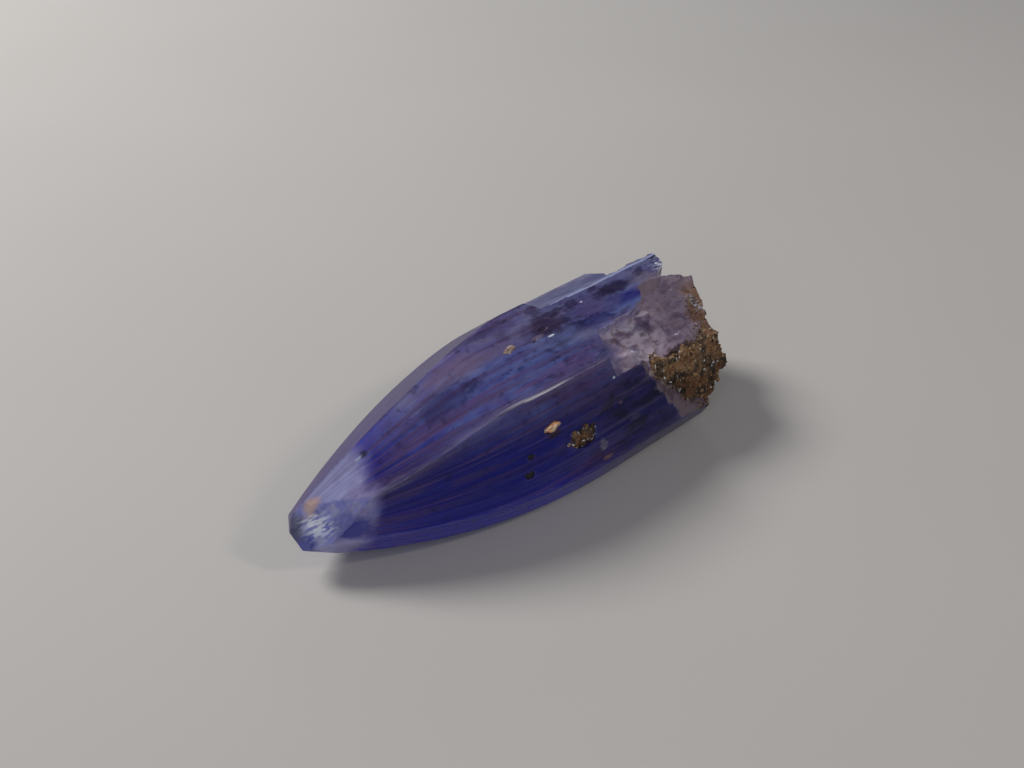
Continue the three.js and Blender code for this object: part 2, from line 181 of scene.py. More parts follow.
# Marks inside the crystal just under its surface: middle, half sizes, colour and strength of each. A painted
# glint, a painted shadow and two painted highlight lines are among them.
MARKS = (
    ((-10.2, -1.45, 2.35), (0.95, 0.6, 0.42), "#2028a0", 0.85),
    ((-11.9, -0.25, 1.55), (0.6, 0.7, 0.45), "#1c24a4", 0.95),
    ((-12.0, 0.4, 2.1), (0.45, 0.6, 0.6), "#1a1a62", 0.95),
    ((-11.08, 0.2, 2.86), (0.4, 0.28, 0.4), "#e0bcb2", 0.95),
    ((-4.9, -0.7, 5.45), (1.6, 0.55, 0.5), "#2b2c72", 0.6),
    ((0.6, -4.6, 1.9), (1.8, 0.45, 0.3), "#6a4468", 0.4),
    ((0.95, -4.72, 1.88), (0.3, 0.25, 0.07), "#cc9c98", 0.8),
    ((2.5, -3.95, 3.6), (0.12, 0.1, 0.06), "#e0a8a0", 0.8),
    ((3.1, -4.35, 2.75), (0.3, 0.2, 0.1), "#8f86b4", 0.6),
    ((3.2, -1.3, 5.8), (1.2, 0.35, 0.4), "#aaa2cc", 0.6),
    ((1.4, -1.0, 6.0), (1.3, 0.45, 0.4), "#8690c8", 0.45),
    ((-2.4, -0.1, 6.2), (1.6, 0.3, 0.35), "#a894b8", 0.45),
    ((-8.5, 0.1, 4.25), (0.16, 0.14, 0.2), "#2b2748", 0.8),
    # A painted glint near the tip.
    ((-8.75, 0.12, 4.15), (0.16, 0.05, 0.2), "#c9d3f0", 0.8),
    ((-1.4, -3.75, 3.85), (0.3, 0.2, 0.16), "#54282f", 0.8),
    ((1.3, -0.1, 6.2), (1.1, 0.55, 0.4), "#3a1f45", 0.8),
    ((-4.0, 0.4, 6.1), (1.6, 0.3, 0.4), "#96799c", 0.5),
    ((-10.5, -1.5, 1.68), (0.8, 0.25, 0.1), "#a9a4cc", 0.6),
    ((7.0, -3.95, 2.6), (1.2, 0.5, 0.9), "#6d5a66", 0.5),
    ((-1.9, 1.0, 6.5), (1.7, 0.2, 0.3), "#23245e", 0.55),
    ((2.85, -2.3, 5.1), (0.75, 1.2, 0.6), "#7d76ac", 0.85),
    ((5.0, -1.25, 5.6), (1.7, 0.3, 0.4), "#7f79ac", 0.5),
    ((6.5, -0.6, 6.05), (1.2, 0.3, 0.35), "#2b2fa0", 0.7),
    ((3.6, -1.0, 5.9), (0.9, 0.4, 0.4), "#2a2c88", 0.6),
    ((0.56, -0.4, 6.15), (0.3, 0.1, 0.1), "#a592b4", 0.7),
    ((-3.6, -0.9, 6.0), (0.5, 0.3, 0.3), "#1b1a55", 0.6),
    ((0.94, -4.5, 2.44), (0.2, 0.3, 0.26), "#b0a8d4", 0.85),
    ((5.75, 0.1, 6.3), (1.1, 0.3, 0.4), "#2a1c44", 0.85),
    # A painted shadow on the milky break.
    ((6.1, -1.75, 4.8), (0.55, 0.4, 0.4), "#54426c", 0.75),
    ((5.6, -2.03, 4.7), (0.16, 0.13, 0.2), "#5d3a2c", 0.9),
    ((3.7, -3.0, 4.6), (0.75, 0.4, 0.4), "#5f4764", 0.7),
    ((7.6, -0.35, 5.9), (0.9, 0.5, 0.5), "#a8949e", 0.7),
    ((10.3, -1.2, 4.1), (0.32, 0.3, 0.3), "#262a5c", 0.8),
    # A painted highlight along the lower edge of the milky terrace.
    ((5.0, -3.5, 3.92), (1.4, 0.16, 0.2), "#f0e4e6", 0.75),
    # A painted highlight along a fine ridge on the milky terrace.
    ((6.67, -1.12, 5.08), (0.75, 0.08, 0.12), "#e8e0ee", 0.85),
)
# The slope of the tip's facet: the way the flecks of painted glints run, the way across them, and out of the
# facet.
FACET_AXES = ((0.78, -0.41, 0.47), (0.05, 0.79, 0.61), (-0.62, -0.52, 0.6))
# Where flecks of painted glints lie: middle and half sizes.
FLECKED = (
    ((-11.2, -0.3, 2.3), (0.66, 0.6, 0.42)),
    ((8.9, 0.2, 6.1), (0.45, 0.4, 0.5)),
    ((10.4, -1.2, 4.1), (0.35, 0.4, 0.4)),
)
# Painted glints on spots of fractured surface: middle and half sizes.
GLINTS = (
    ((1.15, -0.64, 6.1), (0.2, 0.06, 0.1)),
    ((3.76, 0.19, 6.33), (0.08, 0.04, 0.1)),
    ((2.52, -3.28, 4.61), (0.12, 0.08, 0.12)),
    ((4.21, -1.86, 5.05), (0.07, 0.09, 0.14)),
    ((4.36, -2.65, 4.75), (0.08, 0.1, 0.14)),
    ((8.81, 0.24, 6.35), (0.1, 0.05, 0.14)),
    ((10.44, -1.31, 4.09), (0.08, 0.06, 0.12)),
)

CRUST_GAP = 0.3           # clearance that the CAD keeps between the crust and its seat
CRUST_END_GAP = 0.52      # and between the crust and the plane of the broken end
CRUST_ROOT = 0.12         # how far the real crust reaches into the crystal's breaks
CRUST_FULL = 0.35         # what stands higher than this over the seat
CRUST_PRESS = 0.5         # is pressed down by this share
TOUCH = 0.02              # points this near to a height count as lying on it
# Where the crust thins out to nothing on its seat: places across the seat, and how far along it begins there.
CRUST_EDGE = ((-3.4, 1.1), (-3.1, 1.4), (-2.8, 1.9), (-2.1, 2.2), (-1.6, 1.85), (-1.25, 1.5), (-0.8, 1.0),
              (-0.37, 0.5))
CRUST_LEAD = 0.2          # it starts this far before that edge
CRUST_RISE = 1.3          # and grows to its height over this length

# Sand on the crystal's breaks.
RIM_DEPTH = 1.3           # it starts this far inside the plane of the broken end
RIM_RISE = 0.8            # and grows to its full density over this length
RIM_SIDE = -0.4           # it starts at this place across the crystal
RIM_SIDE_RISE = 1.2       # and grows to its full density over this length
RIM_DUST = 0.5            # density along the rim, against 1 beside the crust
DUST_REACH = 0.5          # how far from the crust it thins out to nothing
DUST_SEARCH = 0.7         # and how far the crust is looked for
LEAST_DUST = 0.02         # below this density the surface is left out
CRUST_STANDING = 0.05     # sand gathers only by crust that stands this far out of the breaks
KIND_SHARE = 0.3          # a point lies on a kind of surface where its share of it is more than this

# The clump in the big pit: its core, then the lumps as places along the pit and up its leaning face.
CLUMP_CORE = ((0, -3.9, 3.09), (0.66, 0.22, 0.36))
CLUMP_FACE = np.array([0, -3.98, 3.09])
CLUMP_UP = np.array([0, 0.3, 0.85])
CLUMP_LUMPS = ((-0.62, -0.3), (-0.5, 0.02), (-0.36, 0.25), (-0.3, -0.18), (-0.1, 0.1), (-0.06, -0.3),
               (0.1, 0.3), (0.2, -0.1), (0.38, 0.14), (0.42, -0.22), (0.6, 0.02), (0.66, 0.24),
               (-0.78, -0.08), (0.26, 0.36))
LUMP_HALF = (0.17, 0.28)  # the smallest and the largest half size of a lump

ROCK = "Host rock, weathered schist"
MICA = "Mica, weathered, brassy"
# A grain's shade picks its tone. Scattered grains have 0 to 1, and these stand for a tone of their own.
BLACK_SHADE, PALE_SHADE = 0.01, 2.0
# Single grains in pits of their own: middle, half sizes, material and shade.
SINGLE_GRAINS = {
    "mica_grain": ((-1.46, -3.6, 4.12), (0.5, 0.15, 0.19), MICA, PALE_SHADE),
    "sandy_grain": ((-1.06, -0.3, 6.1), (0.42, 0.25, 0.16), ROCK, PALE_SHADE),
    "low_grain": ((-3.08, -4.05, 2.74), (0.32, 0.13, 0.2), ROCK, BLACK_SHADE),
    "small_grain": ((-2.78, -3.71, 3.39), (0.26, 0.1, 0.15), ROCK, BLACK_SHADE),
}

CAMERA_LENS = 35.0
CAMERA_PLACE = np.array([-23.25, -26.64, 32.3])
CAMERA_TURN = math.radians(40.4)  # from +Y towards +X
CAMERA_DIP = math.radians(39.1)   # below the horizon

# ---- The studio's sizes, in metres ----------------------------------------------------------------------

FLOOR_HALF = 1.5
LIGHT_AIM = Vector((0, 0, 0.003))
SURROUND_COLOUR = "#c3cbda"
SURROUND_STRENGTH = 0.12


# ---- Small tools ----------------------------------------------------------------------------------------


def linear(code):
    """An sRGB hex colour as linear red, green, blue and alpha."""
    parts = [int(code[i:i + 2], 16) / 255 for i in (1, 3, 5)]
    return tuple(c / 12.92 if c <= 0.04045 else ((c + 0.055) / 1.055) ** 2.4 for c in parts) + (1.0,)


def unit(values):
    """The direction of a vector, with length 1."""
    values = np.asarray(values, float)
    return values / np.linalg.norm(values)


def plane_of(point, lean):
    """A plane's origin and its three axes: along, across and out, which is the side that is cut away."""
    out = unit(lean)
    reference = np.array([0.0, 1, 0]) if abs(out[0]) > 0.8 else np.array([1.0, 0, 0])
    along = unit(reference - out * (reference @ out))
    return np.asarray(point, float), along, np.cross(out, along), out


def break_plane(name):
    """The plane of a flat or broken surface."""
    return plane_of(BREAKS[name]["point"], BREAKS[name]["lean"])


def graded(low, high, step, far):
    """Grid lines `step` apart from low to high, with one more far out on each side."""
    fine = np.arange(low, high + step / 2, step)
    return np.concatenate([[-far], fine, [far]])


def new_object(name, data):
    """A new object in the scene."""
    piece = bpy.data.objects.new(name, data)
    bpy.context.scene.collection.objects.link(piece)
    return piece


@contextmanager
def editing(mesh):
    """A mesh opened for editing, and written back at the end."""
    work = bmesh.new()
    work.from_mesh(mesh)
    yield work
    work.to_mesh(mesh)
    work.free()


def mesh_object(name, verts, faces):
    """A new object from mesh data, with its faces turned outwards."""
    mesh = bpy.data.meshes.new(name)
    mesh.from_pydata([tuple(v) for v in verts], [], faces)
    with editing(mesh) as work:
        bmesh.ops.recalc_face_normals(work, faces=work.faces[:])
    return new_object(name, mesh)


def set_kind(piece, kind):
    """Gives every face of a cutter the slot number of its kind of surface."""
    for _ in range(len(KINDS) + 1):
        piece.data.materials.append(None)
    piece.data.polygons.foreach_set("material_index", [kind] * len(piece.data.polygons))


def cutting_block(name, plane, along, across, heights):
    """A block outside a plane, whose cutting face stands `heights` out from it on a grid of places."""
    origin, along_axis, across_axis, out = plane
    count_a, count_b = len(along), len(across)
    flat = (origin + along[:, None, None] * along_axis + across[None, :, None] * across_axis).reshape(-1, 3)
    front = flat + heights.reshape(-1, 1) * out
    index = np.arange(count_a * count_b).reshape(count_a, count_b)
    quads = np.stack([index[:-1, :-1], index[1:, :-1], index[1:, 1:], index[:-1, 1:]], -1).reshape(-1, 4)
    rim = np.concatenate([index[:-1, 0], index[-1, :-1], index[:0:-1, -1], index[0, :0:-1]])
    back = np.arange(len(rim)) + len(flat)
    walls = np.stack([rim, np.roll(rim, -1), np.roll(back, -1), back], -1)
    verts = np.concatenate([front, flat[rim] + REACH * out])
    faces = quads.tolist() + walls.tolist() + [back.tolist()]
    return mesh_object(name, verts, faces)


def evaluated_mesh(piece):
    """The piece's mesh with its modifiers applied. The modifiers are removed."""
    depsgraph = bpy.context.evaluated_depsgraph_get()
    mesh = bpy.data.meshes.new_from_object(piece.evaluated_get(depsgraph))
    piece.modifiers.clear()
    piece.data = mesh
    return mesh


def combine(piece, other, operation):
    """Joins, cuts or intersects the piece with another, which is used up."""
    step = piece.modifiers.new("combine", "BOOLEAN")
    step.operation, step.solver, step.object = operation, "MANIFOLD", other
    evaluated_mesh(piece)
    bpy.data.objects.remove(other)
    if not piece.data.polygons:
        raise RuntimeError(f"nothing is left of {piece.name} after {operation}")


def read(items, name, width=1, kind=float):
    """A value of each of a mesh's items, or a row of `width` values."""
    values = np.zeros(len(items) * width, kind)
    items.foreach_get(name, values)
    return values.reshape(-1, width) if width > 1 else values


def store(mesh, name, values):
    """Keeps a number or a place for each point of a mesh, as an attribute."""
    values = np.asarray(values, np.float32)
    kind, part = ("FLOAT", "value") if values.ndim == 1 else ("FLOAT_VECTOR", "vector")
    mesh.attributes.new(name, kind, "POINT").data.foreach_set(part, values.ravel())


def coordinates(mesh):
    """The places of a mesh's points."""
    return read(mesh.vertices, "co", 3)


def set_coordinates(mesh, places):
    """Moves a mesh's points to new places."""
    mesh.vertices.foreach_set("co", places.ravel())
    mesh.update()


def to_part_frame(piece):
    """Brings a mesh from the crystal's frame in mm to the part's frame in metres."""
    piece.data.transform(Matrix.Scale(MM, 4) @ Matrix.Translation(Vector(-MIDDLE)))
    piece.data.update()


def finish_piece(piece, material, replaced=()):
    """Gives a finished piece its material, its body and the CAD nodes that it stands for. Nothing
    of it reaches under the floor."""
    places = coordinates(piece.data)
    places[:, 2] = np.maximum(places[:, 2], 0)
    set_coordinates(piece.data, places)
    piece.data.materials.clear()
    piece.data.materials.append(material)
    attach(piece, "root")
    if replaced:
        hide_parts(*replaced)


# ---- The crystal's surfaces -----------------------------------------------------------------------------


def hills(along, across, spacing, rng):
    """Smooth random heights from -1 to 1 on a grid, with hills about `spacing` apart."""
    u = (along - along.min()) / spacing
    v = (across - across.min()) / spacing
    lattice = rng.uniform(-1, 1, (int(u.max()) + 2, int(v.max()) + 2))
    iu, iv = u.astype(int), v.astype(int)
    fu, fv = u - iu, v - iv
    fu, fv = (fu * fu * (3 - 2 * fu))[:, None], (fv * fv * (3 - 2 * fv))[None, :]
    low = lattice[np.ix_(iu, iv)] * (1 - fu) + lattice[np.ix_(iu + 1, iv)] * fu
    high = lattice[np.ix_(iu, iv + 1)] * (1 - fu) + lattice[np.ix_(iu + 1, iv + 1)] * fu
    return low * (1 - fv) + high * fv


def chips(along, across, size, rng):
    """Heights of flat chips: the nearest of many scattered points tilts the surface around it."""
    (a0, a1), (b0, b1) = (along[1], along[-2]), (across[1], across[-2])
    count = max(4, int((a1 - a0) * (b1 - b0) / size ** 2))
    centres = np.stack([rng.uniform(a0, a1, count), rng.uniform(b0, b1, count)], -1)
    slopes = rng.uniform(-CHIP_SLOPE, CHIP_SLOPE, (count, 2))
    places = np.stack(np.meshgrid(along, across, indexing="ij"), -1).reshape(-1, 1, 2)
    offsets = np.clip(places - centres, -2 * size, 2 * size)
    nearest = np.argmin((offsets ** 2).sum(-1), 1)
    chosen = offsets[np.arange(len(nearest)), nearest]
    return (chosen * slopes[nearest]).sum(-1).reshape(len(along), len(across))


def taper(x, rule):
    """Share of a face's reach that is left at x."""
    start, power, share = rule
    run = np.clip((start - x) / (start - TIP_X), 0, None)
    return 1 - (1 - share) * run ** power


def striations(x, across, depth, narrowing, rng):
    """Depths of the striations on a grid: bundles of fine grooves along X that start, deepen and fade, and
    run together towards the tip."""
    total = np.zeros((len(x), len(across)))
    for pitch, share in STRIATION_SETS:
        gaps = rng.uniform(*PITCH_SPREAD, int((across[-2] - across[1]) / pitch * 1.4) + 4) * pitch
        knots = across[1] + np.cumsum(gaps)
        knots = knots[knots < across[-2]]
        depths = rng.uniform(0, 1, len(knots)) ** SHALLOWER
        fades = 0.55 + 0.45 * hills(x, np.arange(len(knots)).astype(float), GROOVE_RUN, rng)
        for i, fade in enumerate(fades):
            total[i] += share * depth * np.interp(across / narrowing[i], knots, depths * fade)
    return total


def face_normal(corner_a, corner_b):
    """The way that a prism face looks, in the plane across X."""
    normal = unit([0, corner_b[1] - corner_a[1], corner_a[0] - corner_b[0]])
    return normal if normal @ np.array([0, corner_a[0] - AXIS[0], corner_a[1] - AXIS[1]]) > 0 else -normal


def prism_face_cut(corner_a, corner_b, rule, depth, seed):
    """What lies outside one striated prism face."""
    axis = np.array([0.0, *AXIS])
    normal = face_normal(corner_a, corner_b)
    corners = [np.array([0.0, *corner]) - axis for corner in (corner_a, corner_b)]
    plane = plane_of(axis, normal)
    places = [corner @ plane[2] for corner in corners] + [0.0]
    x = np.arange(TIP_X - OVERCUT, STOCK_END_X + OVERCUT, FACE_STATION)
    across = graded(min(places) - FACE_MARGIN, max(places) + FACE_MARGIN, FACE_ROW, FAR_OUT)
    narrowing = taper(x, rule)
    reach = corners[0] @ normal * narrowing[:, None]
    grooves = striations(x, across, depth, np.maximum(narrowing, GROOVE_NARROWEST),
                         np.random.default_rng(seed))
    heights = reach - grooves * np.sqrt(np.maximum(narrowing, GROOVE_FADED))[:, None]
    cutter = cutting_block("face_cut", plane, x, across, heights)
    set_kind(cutter, FAR if normal[1] > FAR_LOOKING else GROWN)
    return cutter


def edge_course(first, second, x):
    """Where the edge between two prism faces runs, from the axis, and the way it looks."""
    normals, reaches = [], []
    for corner_a, corner_b, rule, _, _ in (PRISM_FACES[first], PRISM_FACES[second]):
        normal = face_normal(corner_a, corner_b)
        normals.append(normal)
        reaches.append(normal[1:] @ (np.array(corner_a) - AXIS) * taper(x, rule))
    edge = np.linalg.solve(np.array(normals)[:, 1:], np.array(reaches))
    return edge, unit(normals[0] + normals[1])


def worn_edge_cut(first, second, worn, deeper, middle, half, seed):
    """What wear takes off the edge between two prism faces, a little unevenly."""
    x = np.arange(TIP_X - OVERCUT, STOCK_END_X + OVERCUT, FACE_STATION)
    edge, between = edge_course(first, second, x)
    rng = np.random.default_rng(seed)
    depth = worn * (1 + 0.6 * hills(x, np.array([0.0, 1.0]), WEAR_RUN, rng)[:, 0])
    depth += deeper * np.clip(1.3 - ((x - middle) / half) ** 2, 0, 1)
    across = graded(-EDGE_HALF, EDGE_HALF, FACE_ROW, FAR_OUT)
    rough, spacing = EDGE_GRAIN
    heights = (between[1:] @ edge - depth)[:, None] + rough * hills(x, across, spacing, rng)
    plane = plane_of((0, *AXIS), between)
    course = np.array(edge).T @ plane[2][1:]
    cutter = cutting_block("edge_cut", plane, x, across, heights)
    places = coordinates(cutter.data)
    shift = np.interp(places[:, 0], x, course)
    set_coordinates(cutter.data, places + shift[:, None] * plane[2])
    set_kind(cutter, GROWN)
    return cutter


def jagged(outline, rng):
    """An outline with more points, moved sideways at random as a break's edge is."""
    points = []
    for start, end in zip(outline, outline[1:] + outline[:1]):
        start, end = np.array(start, float), np.array(end, float)
        steps = max(1, int(np.linalg.norm(end - start) / OUTLINE_STEP))
        drift = np.zeros(2)
        for i in range(steps):
            drift = OUTLINE_DRIFT * drift + rng.uniform(-OUTLINE_JAG, OUTLINE_JAG, 2)
            points.append(start + (end - start) * i / steps + drift * min(1, i / 2, (steps - i) / 2))
    return points


def plan_block(outline, floor, kind):
    """A block with upright sides over a plan outline."""
    count = len(outline)
    low = [(x, y, floor) for x, y in outline]
    high = [(x, y, STOCK_HEIGHT + OVERCUT) for x, y in outline]
    walls = [(i, (i + 1) % count, (i + 1) % count + count, i + count) for i in range(count)]
    faces = [tuple(range(count)), tuple(range(count, 2 * count)), *walls]
    block = mesh_object("plan", low + high, faces)
    set_kind(block, kind)
    return block


def break_cut(kind, point, lean, roughness, chip, span, seed, outline=None, floor=-OVERCUT, chipping=0.8,
              swell=None):
    """What a flat or broken surface takes off the crystal. A swell is left standing out of it: its place
    along and across, its radius and its height."""
    rng = np.random.default_rng(seed)
    if span:
        along, across = (graded(low, high, BREAK_CELL, REACH) for low, high in span)
        (broad, broad_gap), (middling, middling_gap), (fine, fine_gap) = BREAK_HILLS
        heights = roughness * (broad * hills(along, across, broad_gap, rng)
                               + middling * hills(along, across, middling_gap, rng))
        heights += min(chipping, roughness * 8) * chips(along, across, chip, rng)
        heights += roughness * fine * hills(along, across, fine_gap, rng)
        if swell:
            a, b, radius, height = swell
            far = ((along - a) ** 2)[:, None] + ((across - b) ** 2)[None, :]
            heights += height * np.exp(-far / radius ** 2)
        heights[[0, -1]] = heights[:, [0, -1]] = 0
    else:
        along = across = np.array([-REACH, REACH])
        heights = np.zeros((2, 2))
    cutter = cutting_block("break_cut", plane_of(point, lean), along, across, heights)
    set_kind(cutter, kind)
    if outline:
        combine(cutter, plan_block(jagged(outline, rng), floor, kind), "INTERSECT")
    return cutter


def lump(middle, half, seed, detail=3, unevenness=0.15, name="lump"):
    """An uneven ball of the given half sizes."""
    rng = np.random.default_rng(seed)
    waves = rng.normal(0, 2.2, (6, 3))
    phases = rng.uniform(0, 2 * math.pi, 6)
    mesh = bpy.data.meshes.new(name)
    with editing(mesh) as work:
        bmesh.ops.create_icosphere(work, subdivisions=detail, radius=1)
        for vert in work.verts:
            size = 1 + unevenness * np.sin(waves @ np.array(vert.co) + phases).sum() / 2.5
            vert.co = Vector(np.array(vert.co) * size * np.array(half) + np.array(middle))
    return new_object(name, mesh)


def crystal_body():
    """The whole crystal in its own frame in mm, with its faces' kinds as slot numbers. It is cut from a block
    face by face, and each cut has a seed of its own."""
    low = [(x, y, 0) for x in (TIP_X, STOCK_END_X) for y in (-STOCK_HALF_WIDTH, STOCK_HALF_WIDTH)]
    high = [(x, y, STOCK_HEIGHT) for x, y, _ in low]
    faces = [(0, 1, 3, 2), (4, 5, 7, 6), (0, 1, 5, 4), (2, 3, 7, 6), (0, 2, 6, 4), (1, 3, 7, 5)]
    body = mesh_object("tanzanite_crystal", low + high, faces)
    set_kind(body, GROWN)
    for face in PRISM_FACES:
        combine(body, prism_face_cut(*face), "DIFFERENCE")
    for seed, edge in enumerate(WORN_EDGES, 71):
        combine(body, worn_edge_cut(*edge, seed), "DIFFERENCE")
    for seed, surface in enumerate(BREAKS.values(), 21):
        combine(body, break_cut(seed=seed, **surface), "DIFFERENCE")
    for seed, (middle, half) in enumerate(PITS, 50):
        cutter = lump(middle, half, seed)
        set_kind(cutter, PIT)
        combine(body, cutter, "DIFFERENCE")
    return body


def softened(mesh, values, rounds):
    """Values of faces as values of points, which run into each other a little further with each round."""
    count = len(mesh.vertices)
    corners = read(mesh.loops, "vertex_index", kind=np.int32)
    sides = read(mesh.polygons, "loop_total", kind=np.int32)
    shares = np.bincount(corners, np.repeat(values, sides), count)
    shares = shares / np.maximum(np.bincount(corners, minlength=count), 1)
    first, second = read(mesh.edges, "vertices", 2, np.int32).T
    degree = np.maximum(np.bincount(first, minlength=count) + np.bincount(second, minlength=count), 1)
    for _ in range(rounds):
        near = np.bincount(first, shares[second], count) + np.bincount(second, shares[first], count)
        shares = (shares + near / degree) / 2
    return shares


def keep_for_material(mesh):
    """Keeps what the material reads as attributes: the share of each kind of surface, the distance from the
    crease, and the place along the grain, in which every streak that runs in to the tip is straight."""
    kinds = read(mesh.polygons, "material_index", kind=np.int32)
    for name, kind in KINDS.items():
        store(mesh, name, softened(mesh, (kinds == kind).astype(float), SOFT_ROUNDS.get(name, 1)))
    mesh.polygons.foreach_set("material_index", np.zeros(len(kinds), np.int32))
    places = coordinates(mesh)
    x = np.linspace(TIP_X, STOCK_END_X, 200)
    crease_faces = WORN_EDGES[0][:2]
    edge, _ = edge_course(*crease_faces, x)
    course = np.stack([np.interp(places[:, 0], x, side) for side in edge], -1) + AXIS
    store(mesh, "crease_gap", np.linalg.norm(places[:, 1:] - course, axis=1))
    offset = places[:, 1:] - AXIS
    shares, narrowings = [], []
    for corner_a, corner_b, rule, _, _ in PRISM_FACES:
        normal = face_normal(corner_a, corner_b)[1:]
        shares.append(offset @ normal / (normal @ (np.array(corner_a) - AXIS)))
        narrowings.append(taper(places[:, 0], rule))
    nearest = np.argmax(shares, 0)
    narrowing = np.maximum(np.array(narrowings)[nearest, np.arange(len(places))], MIN_NARROWING)
    store(mesh, "grain_place", np.concatenate([places[:, :1], offset / narrowing[:, None]], 1))


# ---- Materials ------------------------------------------------------------------------------------------


def new_material(name):
    """A material without nodes, and its tree."""
    material = bpy.data.materials.new(name)
    material.use_nodes = True
    material.node_tree.nodes.clear()
    return material, material.node_tree


def add(tree, kind, settings=None, **inputs):
    """Adds a node. `settings` are its own properties. Each input is a value, a hex colour or another node's
    output, and is called by its name or as i0, i1 and so on by its number."""
    node = tree.nodes.new(kind)
    for key, value in (settings or {}).items():
        setattr(node, key, value)
    for key, value in inputs.items():
        by_number = key[0] == "i" and key[1:].isdigit()
        socket = node.inputs[int(key[1:]) if by_number else key.replace("_", " ")]
        if isinstance(value, bpy.types.NodeSocket):
            tree.links.new(value, socket)
        elif isinstance(value, str) and value.startswith("#"):
            socket.default_value = linear(value)
        else:
            socket.default_value = value
    return node


def share(tree, *masks):
    """The product of several masks. A mask is a number, an output, or an output with a low and a high value,
    which is 0 at the low one, 1 at the high one and smooth between."""
    total = None
    for mask in masks:
        if isinstance(mask, tuple):
            value, low, high = mask
            mask = add(tree, "ShaderNodeMapRange", dict(interpolation_type="SMOOTHSTEP"), Value=value,
                       From_Min=min(low, high), From_Max=max(low, high), To_Min=float(low > high),
                       To_Max=float(low < high)).outputs[0]
        if total is None:
            total = mask
        else:
            total = add(tree, "ShaderNodeMath", dict(operation="MULTIPLY"), i0=total, i1=mask).outputs[0]
    return total


def paint(tree, colour, *layers):
    """Layers over a colour. Each is a colour of its own and the masks whose product says how strong it is."""
    for tint, *masks in layers:
        colour = add(tree, "ShaderNodeMix", dict(data_type="RGBA"), i0=share(tree, *masks), i6=colour,
                     i7=tint).outputs[2]
    return colour


def settle(tree, below, above, *masks):
    """One number instead of another, as strongly as the product of the masks."""
    return add(tree, "ShaderNodeMix", dict(data_type="FLOAT"), i0=share(tree, *masks), i2=below,
               i3=above).outputs[0]


def crystal_place(tree):
    """The place in the crystal's own frame, in mm."""
    place = add(tree, "ShaderNodeTexCoord").outputs["Object"]
    scaled = add(tree, "ShaderNodeVectorMath", dict(operation="MULTIPLY_ADD"), i0=place,
                 i1=(1 / MM,) * 3, i2=tuple(MIDDLE))
    return scaled.outputs[0]


def stretched_noise(tree, place, stretch, detail=4.0, roughness=0.6, shift=0.0):
    """Noise whose blots are as long as `stretch` along X, Y and Z, in mm."""
    scaled = add(tree, "ShaderNodeVectorMath", dict(operation="MULTIPLY_ADD"), i0=place,
                 i1=tuple(1 / s for s in stretch), i2=(shift,) * 3)
    noise = add(tree, "ShaderNodeTexNoise", Vector=scaled.outputs[0], Scale=1.0, Detail=detail,
                Roughness=roughness)
    return noise.outputs["Fac"]


def blot(tree, place, middle, half, ripple, edge=0.5):
    """1 inside an ellipsoid at `middle` with an uneven border, falling softly to 0 outside it."""
    offset = add(tree, "ShaderNodeVectorMath", dict(operation="SUBTRACT"), i0=place, i1=middle)
    scaled = add(tree, "ShaderNodeVectorMath", dict(operation="DIVIDE"), i0=offset.outputs[0], i1=half)
    length = add(tree, "ShaderNodeVectorMath", dict(operation="LENGTH"), i0=scaled.outputs[0])
    distance = add(tree, "ShaderNodeMath", dict(operation="ADD"), i0=length.outputs["Value"], i1=ripple)
    return share(tree, (distance.outputs[0], 1 + edge, 1 - edge))


